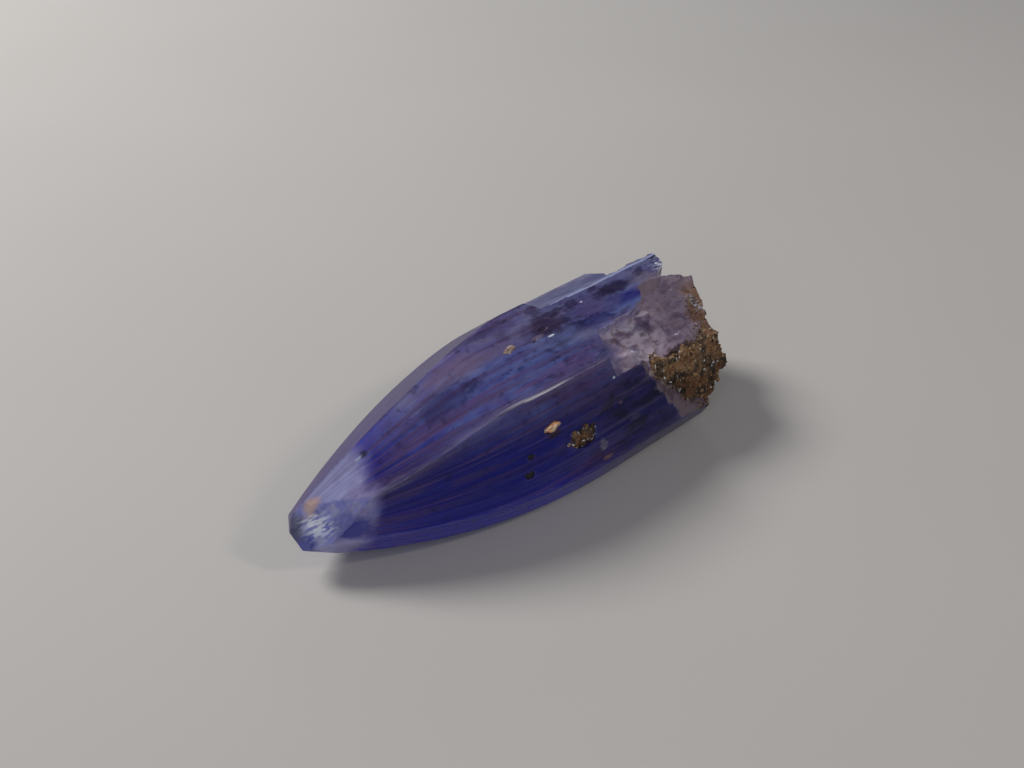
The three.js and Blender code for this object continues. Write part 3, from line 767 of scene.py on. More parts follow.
def tanzanite_material(look):
    """Tanzanite: a blue-violet zoisite. Its growth faces are vitreous and finely striated, so they glint in
    lines along the crystal. Inside it is see-through and strongly coloured, with hazy streaks of fine
    inclusions along its length, a paler tip and a milky, fractured end."""
    material, tree = new_material("Tanzanite, rough, vitreous")
    place = crystal_place(tree)
    x, y, z = add(tree, "ShaderNodeSeparateXYZ", i0=place).outputs
    plus, most, dot = (dict(operation=name) for name in ("MULTIPLY_ADD", "MAXIMUM", "DOT_PRODUCT"))

    # Streaks that run with the grain, in to the tip, and then patches.
    grain = add(tree, "ShaderNodeAttribute", dict(attribute_name="grain_place")).outputs["Vector"]
    wide = stretched_noise(tree, grain, (12.0, 0.6, 0.6), detail=3.0, shift=3.1)
    middling = stretched_noise(tree, grain, (8.0, 0.26, 0.26), detail=2.0, shift=7.9)
    fine = stretched_noise(tree, grain, (7.0, 0.09, 0.09), detail=1.0, shift=9.7)
    mauve = stretched_noise(tree, grain, (5.0, 0.34, 0.34), detail=2.0, shift=12.4)
    cloud = stretched_noise(tree, place, (3.6, 1.3, 1.3), shift=5.3)
    patch = stretched_noise(tree, place, (1.3, 0.55, 0.55), detail=3.0, shift=4.7)
    mottle = stretched_noise(tree, place, (0.5, 0.4, 0.4), detail=5.0, shift=2.2)
    uneven = stretched_noise(tree, place, (0.7, 0.35, 0.35), detail=4.0, shift=8.3)
    ripple = add(tree, "ShaderNodeMath", plus, i0=uneven, i1=1.8, i2=-0.9).outputs[0]
    ragged = add(tree, "ShaderNodeMath", plus, i0=mottle, i1=0.9, i2=-0.45).outputs[0]

    # Each kind of surface runs into the next with an uneven border, but a pit has a sharp one.
    kinds = {}
    for name in KINDS:
        kind = add(tree, "ShaderNodeAttribute", dict(attribute_name=name)).outputs["Fac"]
        border = add(tree, "ShaderNodeMath", dict(operation="ADD"), i0=kind, i1=ragged).outputs[0]
        kinds[name] = kind if name == "pit" else share(tree, (border, 0.15, 0.85))
    broken = add(tree, "ShaderNodeMath", most, i0=kinds["milky"], i1=kinds["end"]).outputs[0]
    back = share(tree, kinds["far"], (x, 9.0, 0.0))
    far_side = share(tree, (y, -0.7, 1.0), (x, 2.0, -1.5))
    # Low along the bottom towards the tip: where a painted glow of light through the crystal goes.
    low_band_glow = share(tree, (z, 2.6, 1.0), (x, 4.0, -2.0))
    # High in the body, where the upward faces get a painted sheen of the sky as well as hazy inclusions.
    upper_sheen = share(tree, (z, 3.9, 5.6))
    haze_and_sheen = add(tree, "ShaderNodeMath", plus, i0=share(tree, upper_sheen, (cloud, 0.38, 0.66)), i1=0.4,
               i2=share(tree, upper_sheen, 0.6)).outputs[0]

    # Reddish and pale streaks of fine inclusions along the crystal. Near the crease the pale ones also carry
    # a painted highlight.
    crease_gap = add(tree, "ShaderNodeAttribute", dict(attribute_name="crease_gap")).outputs["Fac"]
    # Near the crease, where a soft painted highlight goes.
    crease = share(tree, (crease_gap, 1.0, 0.1))
    reddish = share(tree, 0.55, (middling, 0.46, 0.66), (x, 8.0, 0.0))
    gather = add(tree, "ShaderNodeMath", most, i0=share(tree, (wide, 0.42, 0.6)), i1=crease).outputs[0]
    pale = share(tree, 0.28, gather, (fine, 0.48, 0.7), (x, 5.0, 0.0))

    colour = paint(
        tree, look.deep_colour,
        # The body: royal blue towards the tip, darker violet towards the break.
        ("#2f2499", (x, -3.0, 3.5)),
        ("#40309a", 0.45, (wide, 0.38, 0.64)),
        ("#1b1870", 0.55, (patch, 0.48, 0.34), (x, -5.0, 1.0)),
        ("#4a4cdc", 0.5, (patch, 0.5, 0.64), (x, -8.0, -2.0)),
        # A painted glow: the low band is a brighter blue, where light that passed through the crystal leaves
        # it.
        ("#0e1ac4", 0.9, low_band_glow),
        # Greyish blue and mauve tones high in the body: partly hazy inclusions, partly a painted sheen of the
        # sky on the upward faces.
        (look.haze_and_sheen_colour, haze_and_sheen),
        ("#8f9cdc", 0.4, upper_sheen, (patch, 0.48, 0.66)),
        ("#2a1e6c", 0.62, upper_sheen, (patch, 0.48, 0.34)),
        ("#8a6ea2", 0.5, upper_sheen, (cloud, 0.5, 0.36)),
        ("#a99ab8", 0.5, (y, -1.2, 0.4), (x, -9.0, -5.0), (cloud, 0.3, 0.6)),
        ("#9480ac", 0.5, far_side, (wide, 0.25, 0.55)),
        ("#2d2466", 0.85, back),
        # The streaks, and a soft painted highlight along the crease.
        ("#7d6b9c", 0.3, crease),
        ("#8468ac", 0.75, (mauve, 0.48, 0.62), (crease_gap, 3.6, 0.6)),
        ("#a096c0", 0.5, (crease_gap, 0.34, 0.08), (fine, 0.3, 0.6)),
        (look.burgundy_colour, reddish),
        ("#a48fb0", pale),
        # Towards the break the streaks give way to cloudy patches.
        ("#13104c", 0.6, (patch, 0.5, 0.38), (x, -2.0, 2.5)),
        ("#4d458c", 0.5, (patch, 0.52, 0.64), (x, -2.0, 2.5)),
        ("#131150", 0.5, (mottle, 0.55, 0.72)))

    # The pale tip begins at a slanting, cloudy edge.
    tip_edge = add(tree, "ShaderNodeMath", plus, i0=z, i1=-0.5, i2=x).outputs[0]
    tip_edge = add(tree, "ShaderNodeMath", plus, i0=cloud, i1=1.1, i2=tip_edge).outputs[0]
    pale_tip = share(tree, (tip_edge, -9.8, -10.6), (kinds["far"], 0.8, 0.1))
    tip_tone = paint(tree, look.tip_colour, ("#a29ccc", (cloud, 0.4, 0.62)),
                     ("#75588a", 0.3, (middling, 0.44, 0.64)))
    # The milky break: lilac, browner and darker towards the host rock.
    milk = paint(tree, "#dbc5d8", (look.milky_colour, (cloud, 0.4, 0.62)),
                 ("#664c7e", 0.85, (patch, 0.43, 0.66)), ("#8c706c", 0.65, (mottle, 0.5, 0.64)),
                 ("#86708a", 0.6, (x, 6.2, 7.6)))
    dull_end = paint(tree, "#7f6f8c", ("#4c406c", (patch, 0.42, 0.64)))
    frost = paint(tree, "#7a6876", ("#564452", (mottle, 0.48, 0.62)))
    origin, _, _, out = break_plane("broken_end")
    reach = add(tree, "ShaderNodeVectorMath", dot, i0=place, i1=tuple(out)).outputs["Value"]
    rim = float(out @ origin)
    colour = paint(
        tree, colour,
        (tip_tone, 0.9, pale_tip),
        ("#6a72dc", 0.8, kinds["tip"], (mottle, 0.7, 0.4)),
        ("#3c3f80", kinds["cleaved"]),
        ("#9a9cc0", 0.4, kinds["cleaved"], (patch, 0.38, 0.72)),
        (milk, kinds["milky"]),
        (dull_end, kinds["end"]),
        (frost, kinds["frosted"]),
        # The pits are painted dark violet: painted shade in the recesses.
        ("#2c2452", kinds["pit"]),
        # Brown stain along the rim of the broken end.
        ("#9a7048", 0.85, broken, (reach, rim - 1.4, rim - 0.5), (y, 0.4, -0.8), (patch, 0.3, 0.5)),
        *((tint, strength, blot(tree, place, middle, half, ripple))
          for middle, half, tint, strength in MARKS),
        # A painted highlight runs along the ridge over the cleavage, as a paler line.
        ("#b4bce6", 0.65, kinds["cleaved"], (y, 0.46, 0.54), (y, 0.9, 0.78), (x, 2.2, 2.9)))

    # A painted highlight runs white along the crease over one stretch, and a few spots of fractured surface
    # get painted glints.
    crease_highlight = share(tree, 0.55, (crease_gap, 0.13, 0.04), (x, -4.2, -1.8), (x, 0.5, -0.4), (fine, 0.36, 0.5))
    spots = [blot(tree, place, middle, half, ripple, edge=0.15) for middle, half in GLINTS]
    # Fine flecks of painted glints, where the ends of growth steps and small cracks catch the light. They lie
    # along the slope of the tip's facet. Real ones are finer than the render can show, so they are drawn
    # coarser.
    slope = add(tree, "ShaderNodeCombineXYZ")
    for axis, socket in zip(FACET_AXES, slope.inputs):
        tree.links.new(add(tree, "ShaderNodeVectorMath", dot, i0=place, i1=axis).outputs["Value"], socket)
    steps = stretched_noise(tree, slope.outputs[0], (0.5, 0.12, 0.3), detail=2.0, shift=6.1)
    spots += [share(tree, (steps, 0.44, 0.55), blot(tree, place, middle, half, ripple, edge=0.7))
              for middle, half in FLECKED]
    painted_highlights = crease_highlight
    for spot in spots:
        painted_highlights = add(tree, "ShaderNodeMath", most, i0=painted_highlights, i1=spot).outputs[0]
    # The painted highlights and glints, whitish.
    colour = paint(tree, colour, ("#efe0ea", crease_highlight), ("#ecf3ff", 0.95, painted_highlights))

    # Hazy zones and the painted highlights let less light in. So do the broken and worn surfaces, most of
    # which are duller too.
    hazy = reddish
    for other in (pale, haze_and_sheen, painted_highlights):
        hazy = add(tree, "ShaderNodeMath", most, i0=hazy, i1=other).outputs[0]
    clear = settle(tree, look.clearness, look.clearness - 0.42, hazy)
    gloss = settle(tree, 0.16, 0.26, fine)
    gloss = settle(tree, gloss, 0.3, (crease_gap, 0.25, 0.1))
    for mask, clearness, roughness in (
            (low_band_glow, 0.25, None), (pale_tip, 0.18, 0.3), (far_side, 0.35, None), (back, 0.3, 0.5),
            (kinds["milky"], 0.06, 0.34), (kinds["end"], 0.2, 0.3), (kinds["frosted"], 0.15, 0.5),
            (kinds["cleaved"], 0.2, 0.42), (kinds["tip"], 0.3, 0.34), (kinds["pit"], 0.1, 0.6),
            (painted_highlights, 0.1, None)):
        clear = settle(tree, clear, clearness, mask)
        if roughness:
            gloss = settle(tree, gloss, roughness, mask)

    # The finest striations and the grain of the breaks. Real striations are too fine to show, so these are
    # drawn 0.08 mm apart.
    lines = stretched_noise(tree, grain, (5.0, 0.08, 0.08), detail=1.0, shift=1.3)
    low_relief = share(tree, 0.3, (x, -12.0, -5.0), (x, 4.0, -2.0), (wide, 0.35, 0.6), (broken, 1.0, 0.0))
    bump = add(tree, "ShaderNodeBump", Strength=low_relief, Distance=0.008 * MM, Height=lines)
    bump = add(tree, "ShaderNodeBump", Strength=share(tree, 0.7, (broken, 0.0, 1.0)), Distance=0.06 * MM,
               Height=mottle, Normal=bump.outputs[0])
    body = add(tree, "ShaderNodeBsdfPrincipled", Base_Color=colour, Roughness=gloss, IOR=1.69,
               Transmission_Weight=clear, Normal=bump.outputs[0])
    depth = add(tree, "ShaderNodeVolumeAbsorption", Color=look.absorb_colour, Density=look.density)
    add(tree, "ShaderNodeOutputMaterial", Surface=body.outputs[0], Volume=depth.outputs[0])
    return material


def rock_material(look):
    """Host rock: weathered graphite schist with sandy calcite, broken off. It is matt and brown, paler
    towards the top and darker towards the bottom, with rusty patches, and with painted shade in its hollows
    and in broad dark patches. Rock without a shade reads as 0."""
    material, tree = new_material(ROCK)
    place = crystal_place(tree)
    # Lumps, grit and stains. Much of the real grit is finer than 0.09 mm, which is drawn as the finest.
    coarse = stretched_noise(tree, place, (0.45, 0.45, 0.45), detail=5.0)
    fine = stretched_noise(tree, place, (0.09, 0.09, 0.09), detail=3.0, shift=4.0)
    wide = stretched_noise(tree, place, (1.1, 0.7, 0.7), detail=2.0, shift=6.6)
    shade = add(tree, "ShaderNodeAttribute", dict(attribute_name="grain_shade")).outputs["Fac"]
    level = add(tree, "ShaderNodeSeparateXYZ", i0=place).outputs[2]
    height = add(tree, "ShaderNodeMath", dict(operation="MULTIPLY_ADD"), i0=coarse, i1=2.0,
                 i2=level).outputs[0]
    dusty = paint(tree, "#b39a90", ("#7d6660", (fine, 0.4, 0.6)))
    colour = paint(
        # The dark base shows in coarse patches that stand for the shaded hollows between lumps: painted
        # shade.
        tree, look.dark_colour,
        (look.brown_colour, (coarse, 0.42, 0.6)),
        # Darker towards the bottom, and paler in coarse patches towards the top.
        ("#2a1c12", 0.45, (height, 3.9, 2.9)),
        ("#b08c66", 0.85, (height, 3.9, 5.0), (coarse, 0.34, 0.5)),
        ("#8a5a34", 0.6, (wide, 0.46, 0.62)),
        # Broad dark patches: painted shade.
        ("#1f150d", 0.75, (wide, 0.5, 0.38)),
        (look.sand_colour, (shade, 0.55, 0.9)),
        ("#1d130c", 0.65, (fine, 0.5, 0.64)),
        # The black grains, and the one that is pale and dusty.
        ("#140e0b", (shade, 0.06, 0.02), (shade, 0.0, 0.004)),
        (dusty, (shade, 1.5, 1.9)))
    bump = add(tree, "ShaderNodeBump", Strength=0.8, Distance=0.05 * MM, Height=fine)
    rock = add(tree, "ShaderNodeBsdfPrincipled", Base_Color=colour, Roughness=0.6, IOR=1.55,
               Normal=bump.outputs[0])
    add(tree, "ShaderNodeOutputMaterial", Surface=rock.outputs[0])
    return material


def mica_material(look):
    """Mica, split into thin flakes and weathered brassy: a metallic sheen that glints here and there. The
    one grain with the pale shade is peach-coloured."""
    material, tree = new_material(MICA)
    blots = stretched_noise(tree, crystal_place(tree), (0.9, 0.08, 0.08), detail=2.0)
    shade = add(tree, "ShaderNodeAttribute", dict(attribute_name="grain_shade")).outputs["Fac"]
    peach = paint(tree, "#f09a54", ("#fff0d4", (blots, 0.38, 0.54)))
    colour = paint(tree, look.gold_colour, ("#e4a552", (blots, 0.4, 0.6)), (peach, (shade, 1.5, 1.9)))
    flake = add(tree, "ShaderNodeBsdfPrincipled", Base_Color=colour, Metallic=1.0,
                Roughness=settle(tree, 0.5, 0.66, blots), Specular_Tint="#9a6426")
    add(tree, "ShaderNodeOutputMaterial", Surface=flake.outputs[0])
    return material


def card_material(look):
    """Pale card with a matt, pressed surface: it scatters the light evenly, in a faintly cloudy tone."""
    material, tree = new_material("Floor, matt card")
    tone = stretched_noise(tree, crystal_place(tree), (30.0, 30.0, 30.0), detail=2.0)
    colour = paint(tree, look.floor_colour, ("#ffffff", 0.12, tone))
    card = add(tree, "ShaderNodeBsdfPrincipled", Base_Color=colour, Roughness=0.8)
    add(tree, "ShaderNodeOutputMaterial", Surface=card.outputs[0])
    return material


# ---- The host rock --------------------------------------------------------------------------------------


def node_copy(name, node):
    """A merged copy of a CAD node, in the crystal's frame in mm."""
    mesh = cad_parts[node].data.copy()
    with editing(mesh) as work:
        bmesh.ops.remove_doubles(work, verts=work.verts[:], dist=1e-7)
    mesh.transform(Matrix.Translation(Vector(MIDDLE)) @ Matrix.Scale(1 / MM, 4))
    return new_object(name, mesh)


def roughen(piece, voxel, amount, seed):
    """Turns a solid into one rough lump: its surface is made of even small cells, then moved in and out."""
    step = piece.modifiers.new("cells", "REMESH")
    step.mode, step.voxel_size = "VOXEL", voxel
    mesh = evaluated_mesh(piece)
    places = coordinates(mesh)
    rng = np.random.default_rng(seed)
    waves = rng.normal(0, 5.0, (24, 3))
    phases = rng.uniform(0, 2 * math.pi, 24)
    swell = np.sin(places @ waves.T + phases).sum(1) / 5
    set_coordinates(mesh, places + read(mesh.vertices, "normal", 3) * (amount * swell)[:, None])


def fit_crust(crust):
    """Roots the crust in the crystal's breaks, presses down what stands high and thins it out on its seat."""
    places = coordinates(crust.data)
    origin, along, across, out = break_plane("crust_seat")
    offset = places - origin
    start = np.interp(offset @ across, *np.array(CRUST_EDGE).T)
    inside = np.clip((offset @ along - start + CRUST_LEAD) / CRUST_RISE, 0, 1)
    height = offset @ out
    pressed = height - CRUST_PRESS * np.maximum(height - CRUST_FULL, 0)
    wanted = np.where(height < CRUST_GAP + TOUCH, -CRUST_ROOT,
                      (pressed + CRUST_ROOT) * inside * inside * (3 - 2 * inside) - CRUST_ROOT)
    places += (wanted - height)[:, None] * out
    origin, _, _, out = break_plane("broken_end")
    distance = (places - origin) @ out
    places[np.abs(distance - CRUST_END_GAP) < TOUCH] -= out * (CRUST_END_GAP + CRUST_ROOT)
    set_coordinates(crust.data, places)


def grain_tree(name, material, flat, dusty):
    """A tree that scatters small angular grains over a surface, with a shade of its own for each. Flat ones
    are flakes, and where there is dust on the surface, it says how thickly they lie."""
    tree = bpy.data.node_groups.new(name, "GeometryNodeTree")
    face = tree.interface
    face.new_socket("Surface", in_out="INPUT", socket_type="NodeSocketGeometry")
    for label, kind in (("Density", "NodeSocketFloat"), ("Smallest", "NodeSocketFloat"),
                        ("Largest", "NodeSocketFloat"), ("Seed", "NodeSocketInt")):
        face.new_socket(label, in_out="INPUT", socket_type=kind)
    face.new_socket("Grains", in_out="OUTPUT", socket_type="NodeSocketGeometry")
    given = tree.nodes.new("NodeGroupInput").outputs
    density = given["Density"]
    if dusty:
        dust = add(tree, "GeometryNodeInputNamedAttribute", dict(data_type="FLOAT"), Name="dust").outputs[0]
        density = add(tree, "ShaderNodeMath", dict(operation="MULTIPLY"), i0=density, i1=dust).outputs[0]
    points = add(tree, "GeometryNodeDistributePointsOnFaces", Mesh=given["Surface"], Density=density,
                 Seed=given["Seed"])
    grain = add(tree, "GeometryNodeMeshIcoSphere", Radius=1.0, Subdivisions=1)
    flatten = add(tree, "GeometryNodeTransform", Geometry=grain.outputs["Mesh"],
                  Scale=(1.0, 0.8, 0.18 if flat else 0.75))
    size = add(tree, "FunctionNodeRandomValue", dict(data_type="FLOAT"), i2=given["Smallest"],
               i3=given["Largest"], Seed=given["Seed"])
    turn = add(tree, "FunctionNodeRandomValue", dict(data_type="FLOAT_VECTOR"), i0=(0.0, 0.0, 0.0),
               i1=(6.28, 6.28, 6.28), Seed=given["Seed"])
    shape = add(tree, "FunctionNodeRandomValue", dict(data_type="FLOAT_VECTOR"), i0=(0.55, 0.55, 0.55),
                i1=(1.3, 1.1, 1.0), Seed=5)
    scale = add(tree, "ShaderNodeVectorMath", dict(operation="SCALE"), i0=shape.outputs[0],
                Scale=size.outputs[1])
    angular = add(tree, "GeometryNodeSetShadeSmooth", Geometry=flatten.outputs["Geometry"],
                  Shade_Smooth=False)
    placed = add(tree, "GeometryNodeInstanceOnPoints", Points=points.outputs["Points"],
                 Instance=angular.outputs["Geometry"], Rotation=turn.outputs[0], Scale=scale.outputs[0])
    shade = add(tree, "FunctionNodeRandomValue", dict(data_type="FLOAT"), i2=0.0, i3=1.0, Seed=7)
    stored = add(tree, "GeometryNodeStoreNamedAttribute", dict(data_type="FLOAT", domain="INSTANCE"),
                 Geometry=placed.outputs["Instances"], Name="grain_shade", Value=shade.outputs[1])
    real = add(tree, "GeometryNodeRealizeInstances", Geometry=stored.outputs["Geometry"])
    finished = add(tree, "GeometryNodeSetMaterial", Geometry=real.outputs["Geometry"], Material=material)
    output = tree.nodes.new("NodeGroupOutput")
    tree.links.new(finished.outputs["Geometry"], output.inputs["Grains"])
    return tree


def scatter(name, surface, material, density, smallest, largest, seed, flat=False):
    """Grains over a surface, as one new mesh in the part's frame. Density is for each square millimetre, and
    the smallest and largest radius are in mm. The mesh has two slots: an empty one, from the ball that each
    grain starts as, and then the material."""
    piece = new_object(name, surface.copy())
    step = piece.modifiers.new("grains", "NODES")
    step.node_group = grain_tree(name + "_tree", material, flat, "dust" in surface.attributes)
    values = {"Density": density / MM ** 2, "Smallest": smallest * MM, "Largest": largest * MM, "Seed": seed}
    for item in step.node_group.interface.items_tree:
        if item.name in values:
            step[item.identifier] = values[item.name]
    evaluated_mesh(piece)
    return piece


def dusty_rim(crust):
    """The crystal's broken faces near the crust and along the rim, with how much sand lies on each place."""
    crystal = bpy.data.objects["tanzanite_crystal"].data
    places = coordinates(crystal) / MM + MIDDLE
    origin, _, _, out = break_plane("broken_end")
    rim = np.clip(((places - origin) @ out + RIM_DEPTH) / RIM_RISE, 0, 1)
    rim *= np.clip((RIM_SIDE - places[:, 1]) / RIM_SIDE_RISE, 0, 1)
    crust_places = coordinates(crust.data) / MM + MIDDLE
    heights = [(crust_places - start) @ way
               for start, _, _, way in (break_plane("broken_end"), break_plane("crust_seat"))]
    standing = np.maximum(*heights) > CRUST_STANDING
    tree = BVHTree.FromPolygons([v.co for v in crust.data.vertices],
                                [p.vertices for p in crust.data.polygons if standing[list(p.vertices)].all()])
    near = np.array([tree.find_nearest(v.co, DUST_SEARCH * MM)[3] or MM for v in crystal.vertices]) / MM
    dust = np.maximum(rim * RIM_DUST, np.clip(1 - near / DUST_REACH, 0, 1) ** 2)
    broken = np.zeros(len(places), bool)
    for name in ("milky", "end", "frosted"):
        broken |= read(crystal.attributes[name].data, "value", kind=np.float32) > KIND_SHARE
    dust *= broken
    mesh = crystal.copy()
    store(mesh, "dust", dust)
    with editing(mesh) as work:
        bmesh.ops.delete(work, geom=[v for v in work.verts if dust[v.index] < LEAST_DUST], context="VERTS")
    return mesh


# ---- Settings -------------------------------------------------------------------------------------------


def hex_colour(name, thing, default):
    """A setting that holds the colour of a thing."""
    return bpy.props.StringProperty(name=name, description=f"Colour of {thing}, as an sRGB hex code",
                                    default=default)


def light_power(name, place, default):
    """A setting that holds the power of a light."""
    return bpy.props.FloatProperty(name=name, description=f"Power of the light {place}", default=default,
                                   min=0.0, unit="POWER")


class CrystalLook(bpy.types.PropertyGroup):
    """The crystal's colours and clearness"""

    deep_colour: hex_colour("Deep colour", "the clear body", "#2a34e4")
    # Colour high in the body: partly hazy inclusions, partly a painted sheen of the sky.
    haze_and_sheen_colour: hex_colour("Haze colour", "the hazy streaks", "#7688cc")
    burgundy_colour: hex_colour("Burgundy colour", "the reddish streaks", "#6e4c76")
    tip_colour: hex_colour("Tip colour", "the pale tip", "#b9bcec")
    milky_colour: hex_colour("Milky colour", "the milky break", "#e2d8ea")
    absorb_colour: hex_colour("Absorption colour", "the light that isn't taken up inside", "#5a4fd2")
    density: bpy.props.FloatProperty(
        name="Absorption density", description="How strongly the crystal takes up light, for each metre",
        default=390.0, min=0.0)
    clearness: bpy.props.FloatProperty(
        name="Clearness", description="Share of light that enters the clear body", default=0.72, min=0.2,
        max=1.0, subtype="FACTOR")


class RockLook(bpy.types.PropertyGroup):
    """The host rock's colours and its largest grain"""

    # The dark colour is painted shade in the rock's hollows.
    dark_colour: hex_colour("Dark colour", "the rock's hollows", "#2b1d12")
    brown_colour: hex_colour("Brown colour", "the rock", "#6a4827")
    sand_colour: hex_colour("Sand colour", "the palest grains", "#b08c5c")
    gold_colour: hex_colour("Gold colour", "the mica flakes", "#b8742c")
    grain_size: bpy.props.FloatProperty(
        name="Largest grain", description="Radius of the largest grains", default=0.15 * MM, min=0.0,
        unit="LENGTH", precision=6)


class StudioLook(bpy.types.PropertyGroup):
    """The floor's colour and the lights' powers"""

    floor_colour: hex_colour("Floor colour", "the pale floor", "#c6c3be")
    key_power: light_power("Key power", "behind and to the left", 0.32)
    front_power: light_power("Front power", "in front, to the right", 0.05)
    ridge_power: light_power("Ridge power", "behind and to the right", 0.018)
    tip_power: light_power("Tip power", "to the left, low beyond the tip", 0.023)
    fill_power: light_power("Fill power", "above the camera, which is the largest", 0.11)


# ---- Operators ------------------------------------------------------------------------------------------


class TANZANITE_OT_crystal(bpy.types.Operator):
    """Make the striated crystal with its tip, its breaks and its pits"""

    bl_idname = "tanzanite.crystal"
    bl_label = "Crystal"

    def execute(self, context):
        body = crystal_body()
        keep_for_material(body.data)
        to_part_frame(body)
        body.data.shade_smooth()
        body.data.set_sharp_from_angle(angle=SHARP_ANGLE)
        finish_piece(body, tanzanite_material(context.scene.crystal_look), ["crystal"])
        return {"FINISHED"}


class TANZANITE_OT_crust(bpy.types.Operator):
    """Make the crust of host rock with its grains, its mica flakes and the sand around it"""

    bl_idname = "tanzanite.crust"
    bl_label = "Crust"

    def execute(self, context):
        look = context.scene.rock_look
        rock, mica = rock_material(look), mica_material(look)
        crust = node_copy("host_rock_crust", "matrix_crust")
        fit_crust(crust)
        roughen(crust, voxel=0.08, amount=0.05, seed=11)
        to_part_frame(crust)
        coarse = scatter("crust_grains", crust.data, rock, 22.0, 0.04, look.grain_size / MM, seed=3)
        sand = scatter("crust_sand", crust.data, rock, 120.0, 0.02, 0.05, seed=4)
        flakes = scatter("crust_mica", crust.data, mica, 4.0, 0.035, 0.15, seed=5, flat=True)
        dust = scatter("rim_sand", dusty_rim(crust), rock, 260.0, 0.02, 0.08, seed=6)
        finish_piece(crust, rock, ["matrix_crust"])
        for piece in (coarse, sand, dust):
            finish_piece(piece, rock)
        # The first slot is empty, so the flakes show the plain pale default. `mica` here makes them brassy.
        finish_piece(flakes, flakes.data.materials[0])
        return {"FINISHED"}


class TANZANITE_OT_pit_clump(bpy.types.Operator):
    """Make the clump of host rock in the open pit of the front face, after the crust"""

    bl_idname = "tanzanite.pit_clump"
    bl_label = "Clump in the pit"

    def execute(self, context):
        rock, mica = bpy.data.materials[ROCK], bpy.data.materials[MICA]
        rng = np.random.default_rng(17)
        clump = lump(*CLUMP_CORE, 89, name="pit_clump")
        for seed, (along, up) in enumerate(CLUMP_LUMPS, 90):
            half = rng.uniform(*LUMP_HALF, 3)
            combine(clump, lump(CLUMP_FACE + (along, 0, 0) + up * CLUMP_UP, half, seed, detail=2), "UNION")
        roughen(clump, voxel=0.04, amount=0.03, seed=12)
        to_part_frame(clump)
        grains = scatter("pit_grains", clump.data, rock, 40.0, 0.02, 0.09, seed=8)
        flakes = scatter("pit_mica", clump.data, mica, 16.0, 0.03, 0.09, seed=9, flat=True)
        finish_piece(clump, rock, ["pit_grain"])
        finish_piece(grains, rock)
        # As on the crust, the first slot is empty, and `mica` here makes the flakes brassy.
        finish_piece(flakes, flakes.data.materials[0])
        return {"FINISHED"}


class TANZANITE_OT_single_grains(bpy.types.Operator):
    """Make the single grains in pits of their own, after the crust"""

    bl_idname = "tanzanite.single_grains"
    bl_label = "Single grains"

    def execute(self, context):
        for name, (middle, half, material, shade) in SINGLE_GRAINS.items():
            grain = lump(middle, half, 5, unevenness=0.3, name=name)
            roughen(grain, voxel=0.035, amount=0.012, seed=14)
            to_part_frame(grain)
            store(grain.data, "grain_shade", np.full(len(grain.data.vertices), shade))
            finish_piece(grain, bpy.data.materials[material])
        return {"FINISHED"}


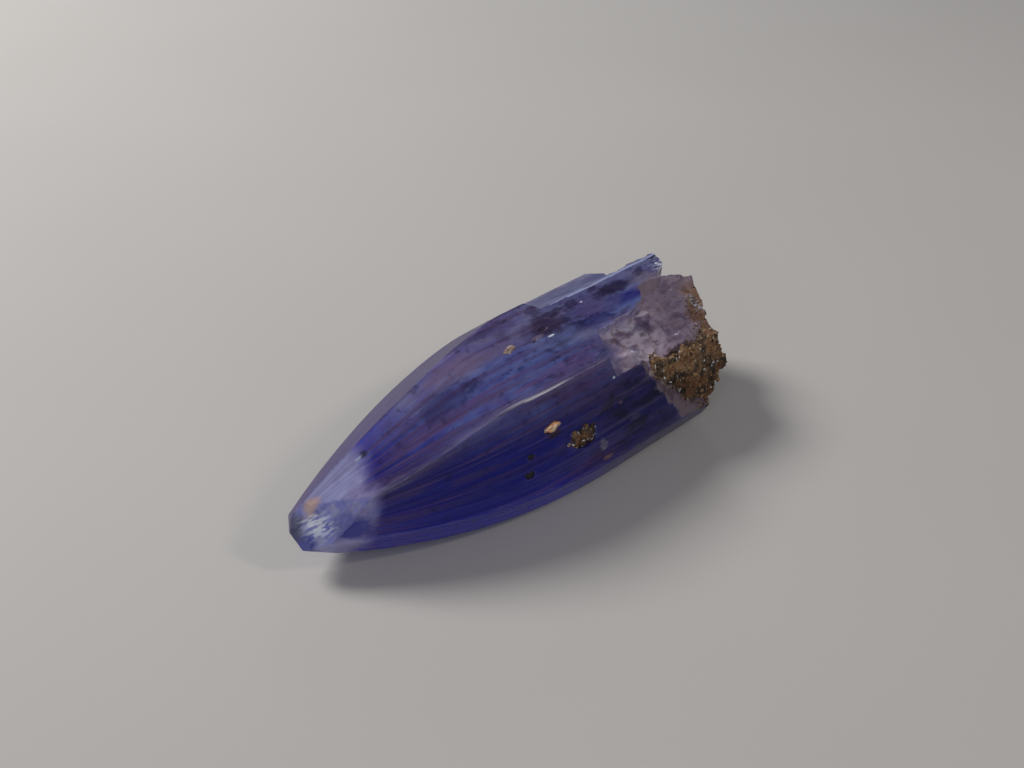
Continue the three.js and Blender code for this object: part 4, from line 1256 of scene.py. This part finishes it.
class TANZANITE_OT_studio(bpy.types.Operator):
    """Make the pale floor, the soft lights and the camera"""

    bl_idname = "tanzanite.studio"
    bl_label = "Studio"

    def execute(self, context):
        scene, look = context.scene, context.scene.studio_look
        scene.view_settings.view_transform = "Standard"
        camera = new_object("camera", bpy.data.cameras.new("camera"))
        camera.data.lens = CAMERA_LENS
        camera.data.clip_start = MM
        ahead = Vector((math.sin(CAMERA_TURN) * math.cos(CAMERA_DIP),
                        math.cos(CAMERA_TURN) * math.cos(CAMERA_DIP), -math.sin(CAMERA_DIP)))
        right = Vector((math.cos(CAMERA_TURN), -math.sin(CAMERA_TURN), 0))
        turn = Matrix((right, right.cross(ahead), -ahead)).transposed().to_4x4()
        camera.matrix_world = Matrix.Translation(Vector((CAMERA_PLACE - MIDDLE) * MM)) @ turn
        scene.camera = camera

        corners = [(FLOOR_HALF * a, FLOOR_HALF * b, 0) for a, b in ((-1, -1), (1, -1), (1, 1), (-1, 1))]
        floor = mesh_object("floor", corners, [(0, 1, 2, 3)])
        floor.data.materials.append(card_material(look))

        scene.world = bpy.data.worlds.new("studio")
        scene.world.use_nodes = True
        surround = scene.world.node_tree.nodes["Background"].inputs
        surround["Color"].default_value = linear(SURROUND_COLOUR)
        surround["Strength"].default_value = SURROUND_STRENGTH

        # Each light: its place and its width in metres, its power and its colour.
        for name, place, width, power, tint in (
                ("key", (-0.05, 0.15, 0.14), 0.08, look.key_power, "#f6f4f2"),
                ("crease", (0.1, -0.118, 0.138), 0.03, look.front_power, "#fff2ea"),
                ("ridge", (0.12, 0.138, 0.085), 0.05, look.ridge_power, "#e2ecff"),
                ("tip", (-0.1825, -0.0654, 0.0825), 0.05, look.tip_power, "#eef2ff"),
                ("fill", (-0.13, -0.16, 0.2), 0.2, look.fill_power, "#f2f4ff")):
            lamp = new_object(name, bpy.data.lights.new(name, "AREA"))
            lamp.data.shape, lamp.data.size = "DISK", width
            lamp.data.energy, lamp.data.color = power, linear(tint)[:3]
            lamp.location = place
            lamp.rotation_euler = (LIGHT_AIM - Vector(place)).to_track_quat("-Z", "Y").to_euler()
        return {"FINISHED"}


class TANZANITE_PT_panel(bpy.types.Panel):
    """Lists the operators and the settings in the sidebar"""

    bl_idname = "TANZANITE_PT_panel"
    bl_label = "Rough tanzanite"
    bl_space_type = "VIEW_3D"
    bl_region_type = "UI"
    bl_category = "Tanzanite"

    def draw(self, context):
        for operator in OPERATORS:
            self.layout.operator(operator.bl_idname)
        for settings in (context.scene.crystal_look, context.scene.rock_look, context.scene.studio_look):
            for name in settings.__annotations__:
                self.layout.prop(settings, name)


OPERATORS = (TANZANITE_OT_crystal, TANZANITE_OT_crust, TANZANITE_OT_pit_clump, TANZANITE_OT_single_grains,
             TANZANITE_OT_studio)
CLASSES = (CrystalLook, RockLook, StudioLook, *OPERATORS, TANZANITE_PT_panel)


def register():
    """Makes the classes and the settings known."""
    for cls in CLASSES:
        bpy.utils.register_class(cls)
    bpy.types.Scene.crystal_look = bpy.props.PointerProperty(type=CrystalLook)
    bpy.types.Scene.rock_look = bpy.props.PointerProperty(type=RockLook)
    bpy.types.Scene.studio_look = bpy.props.PointerProperty(type=StudioLook)


def unregister():
    """Takes them away again."""
    for name in ("studio_look", "rock_look", "crystal_look"):
        delattr(bpy.types.Scene, name)
    for cls in reversed(CLASSES):
        bpy.utils.unregister_class(cls)


def main():
    """Builds everything in order."""
    register()
    bpy.ops.tanzanite.crystal()
    bpy.ops.tanzanite.crust()
    bpy.ops.tanzanite.pit_clump()
    bpy.ops.tanzanite.single_grains()
    bpy.ops.tanzanite.studio()


if __name__ == "__main__":
    main()
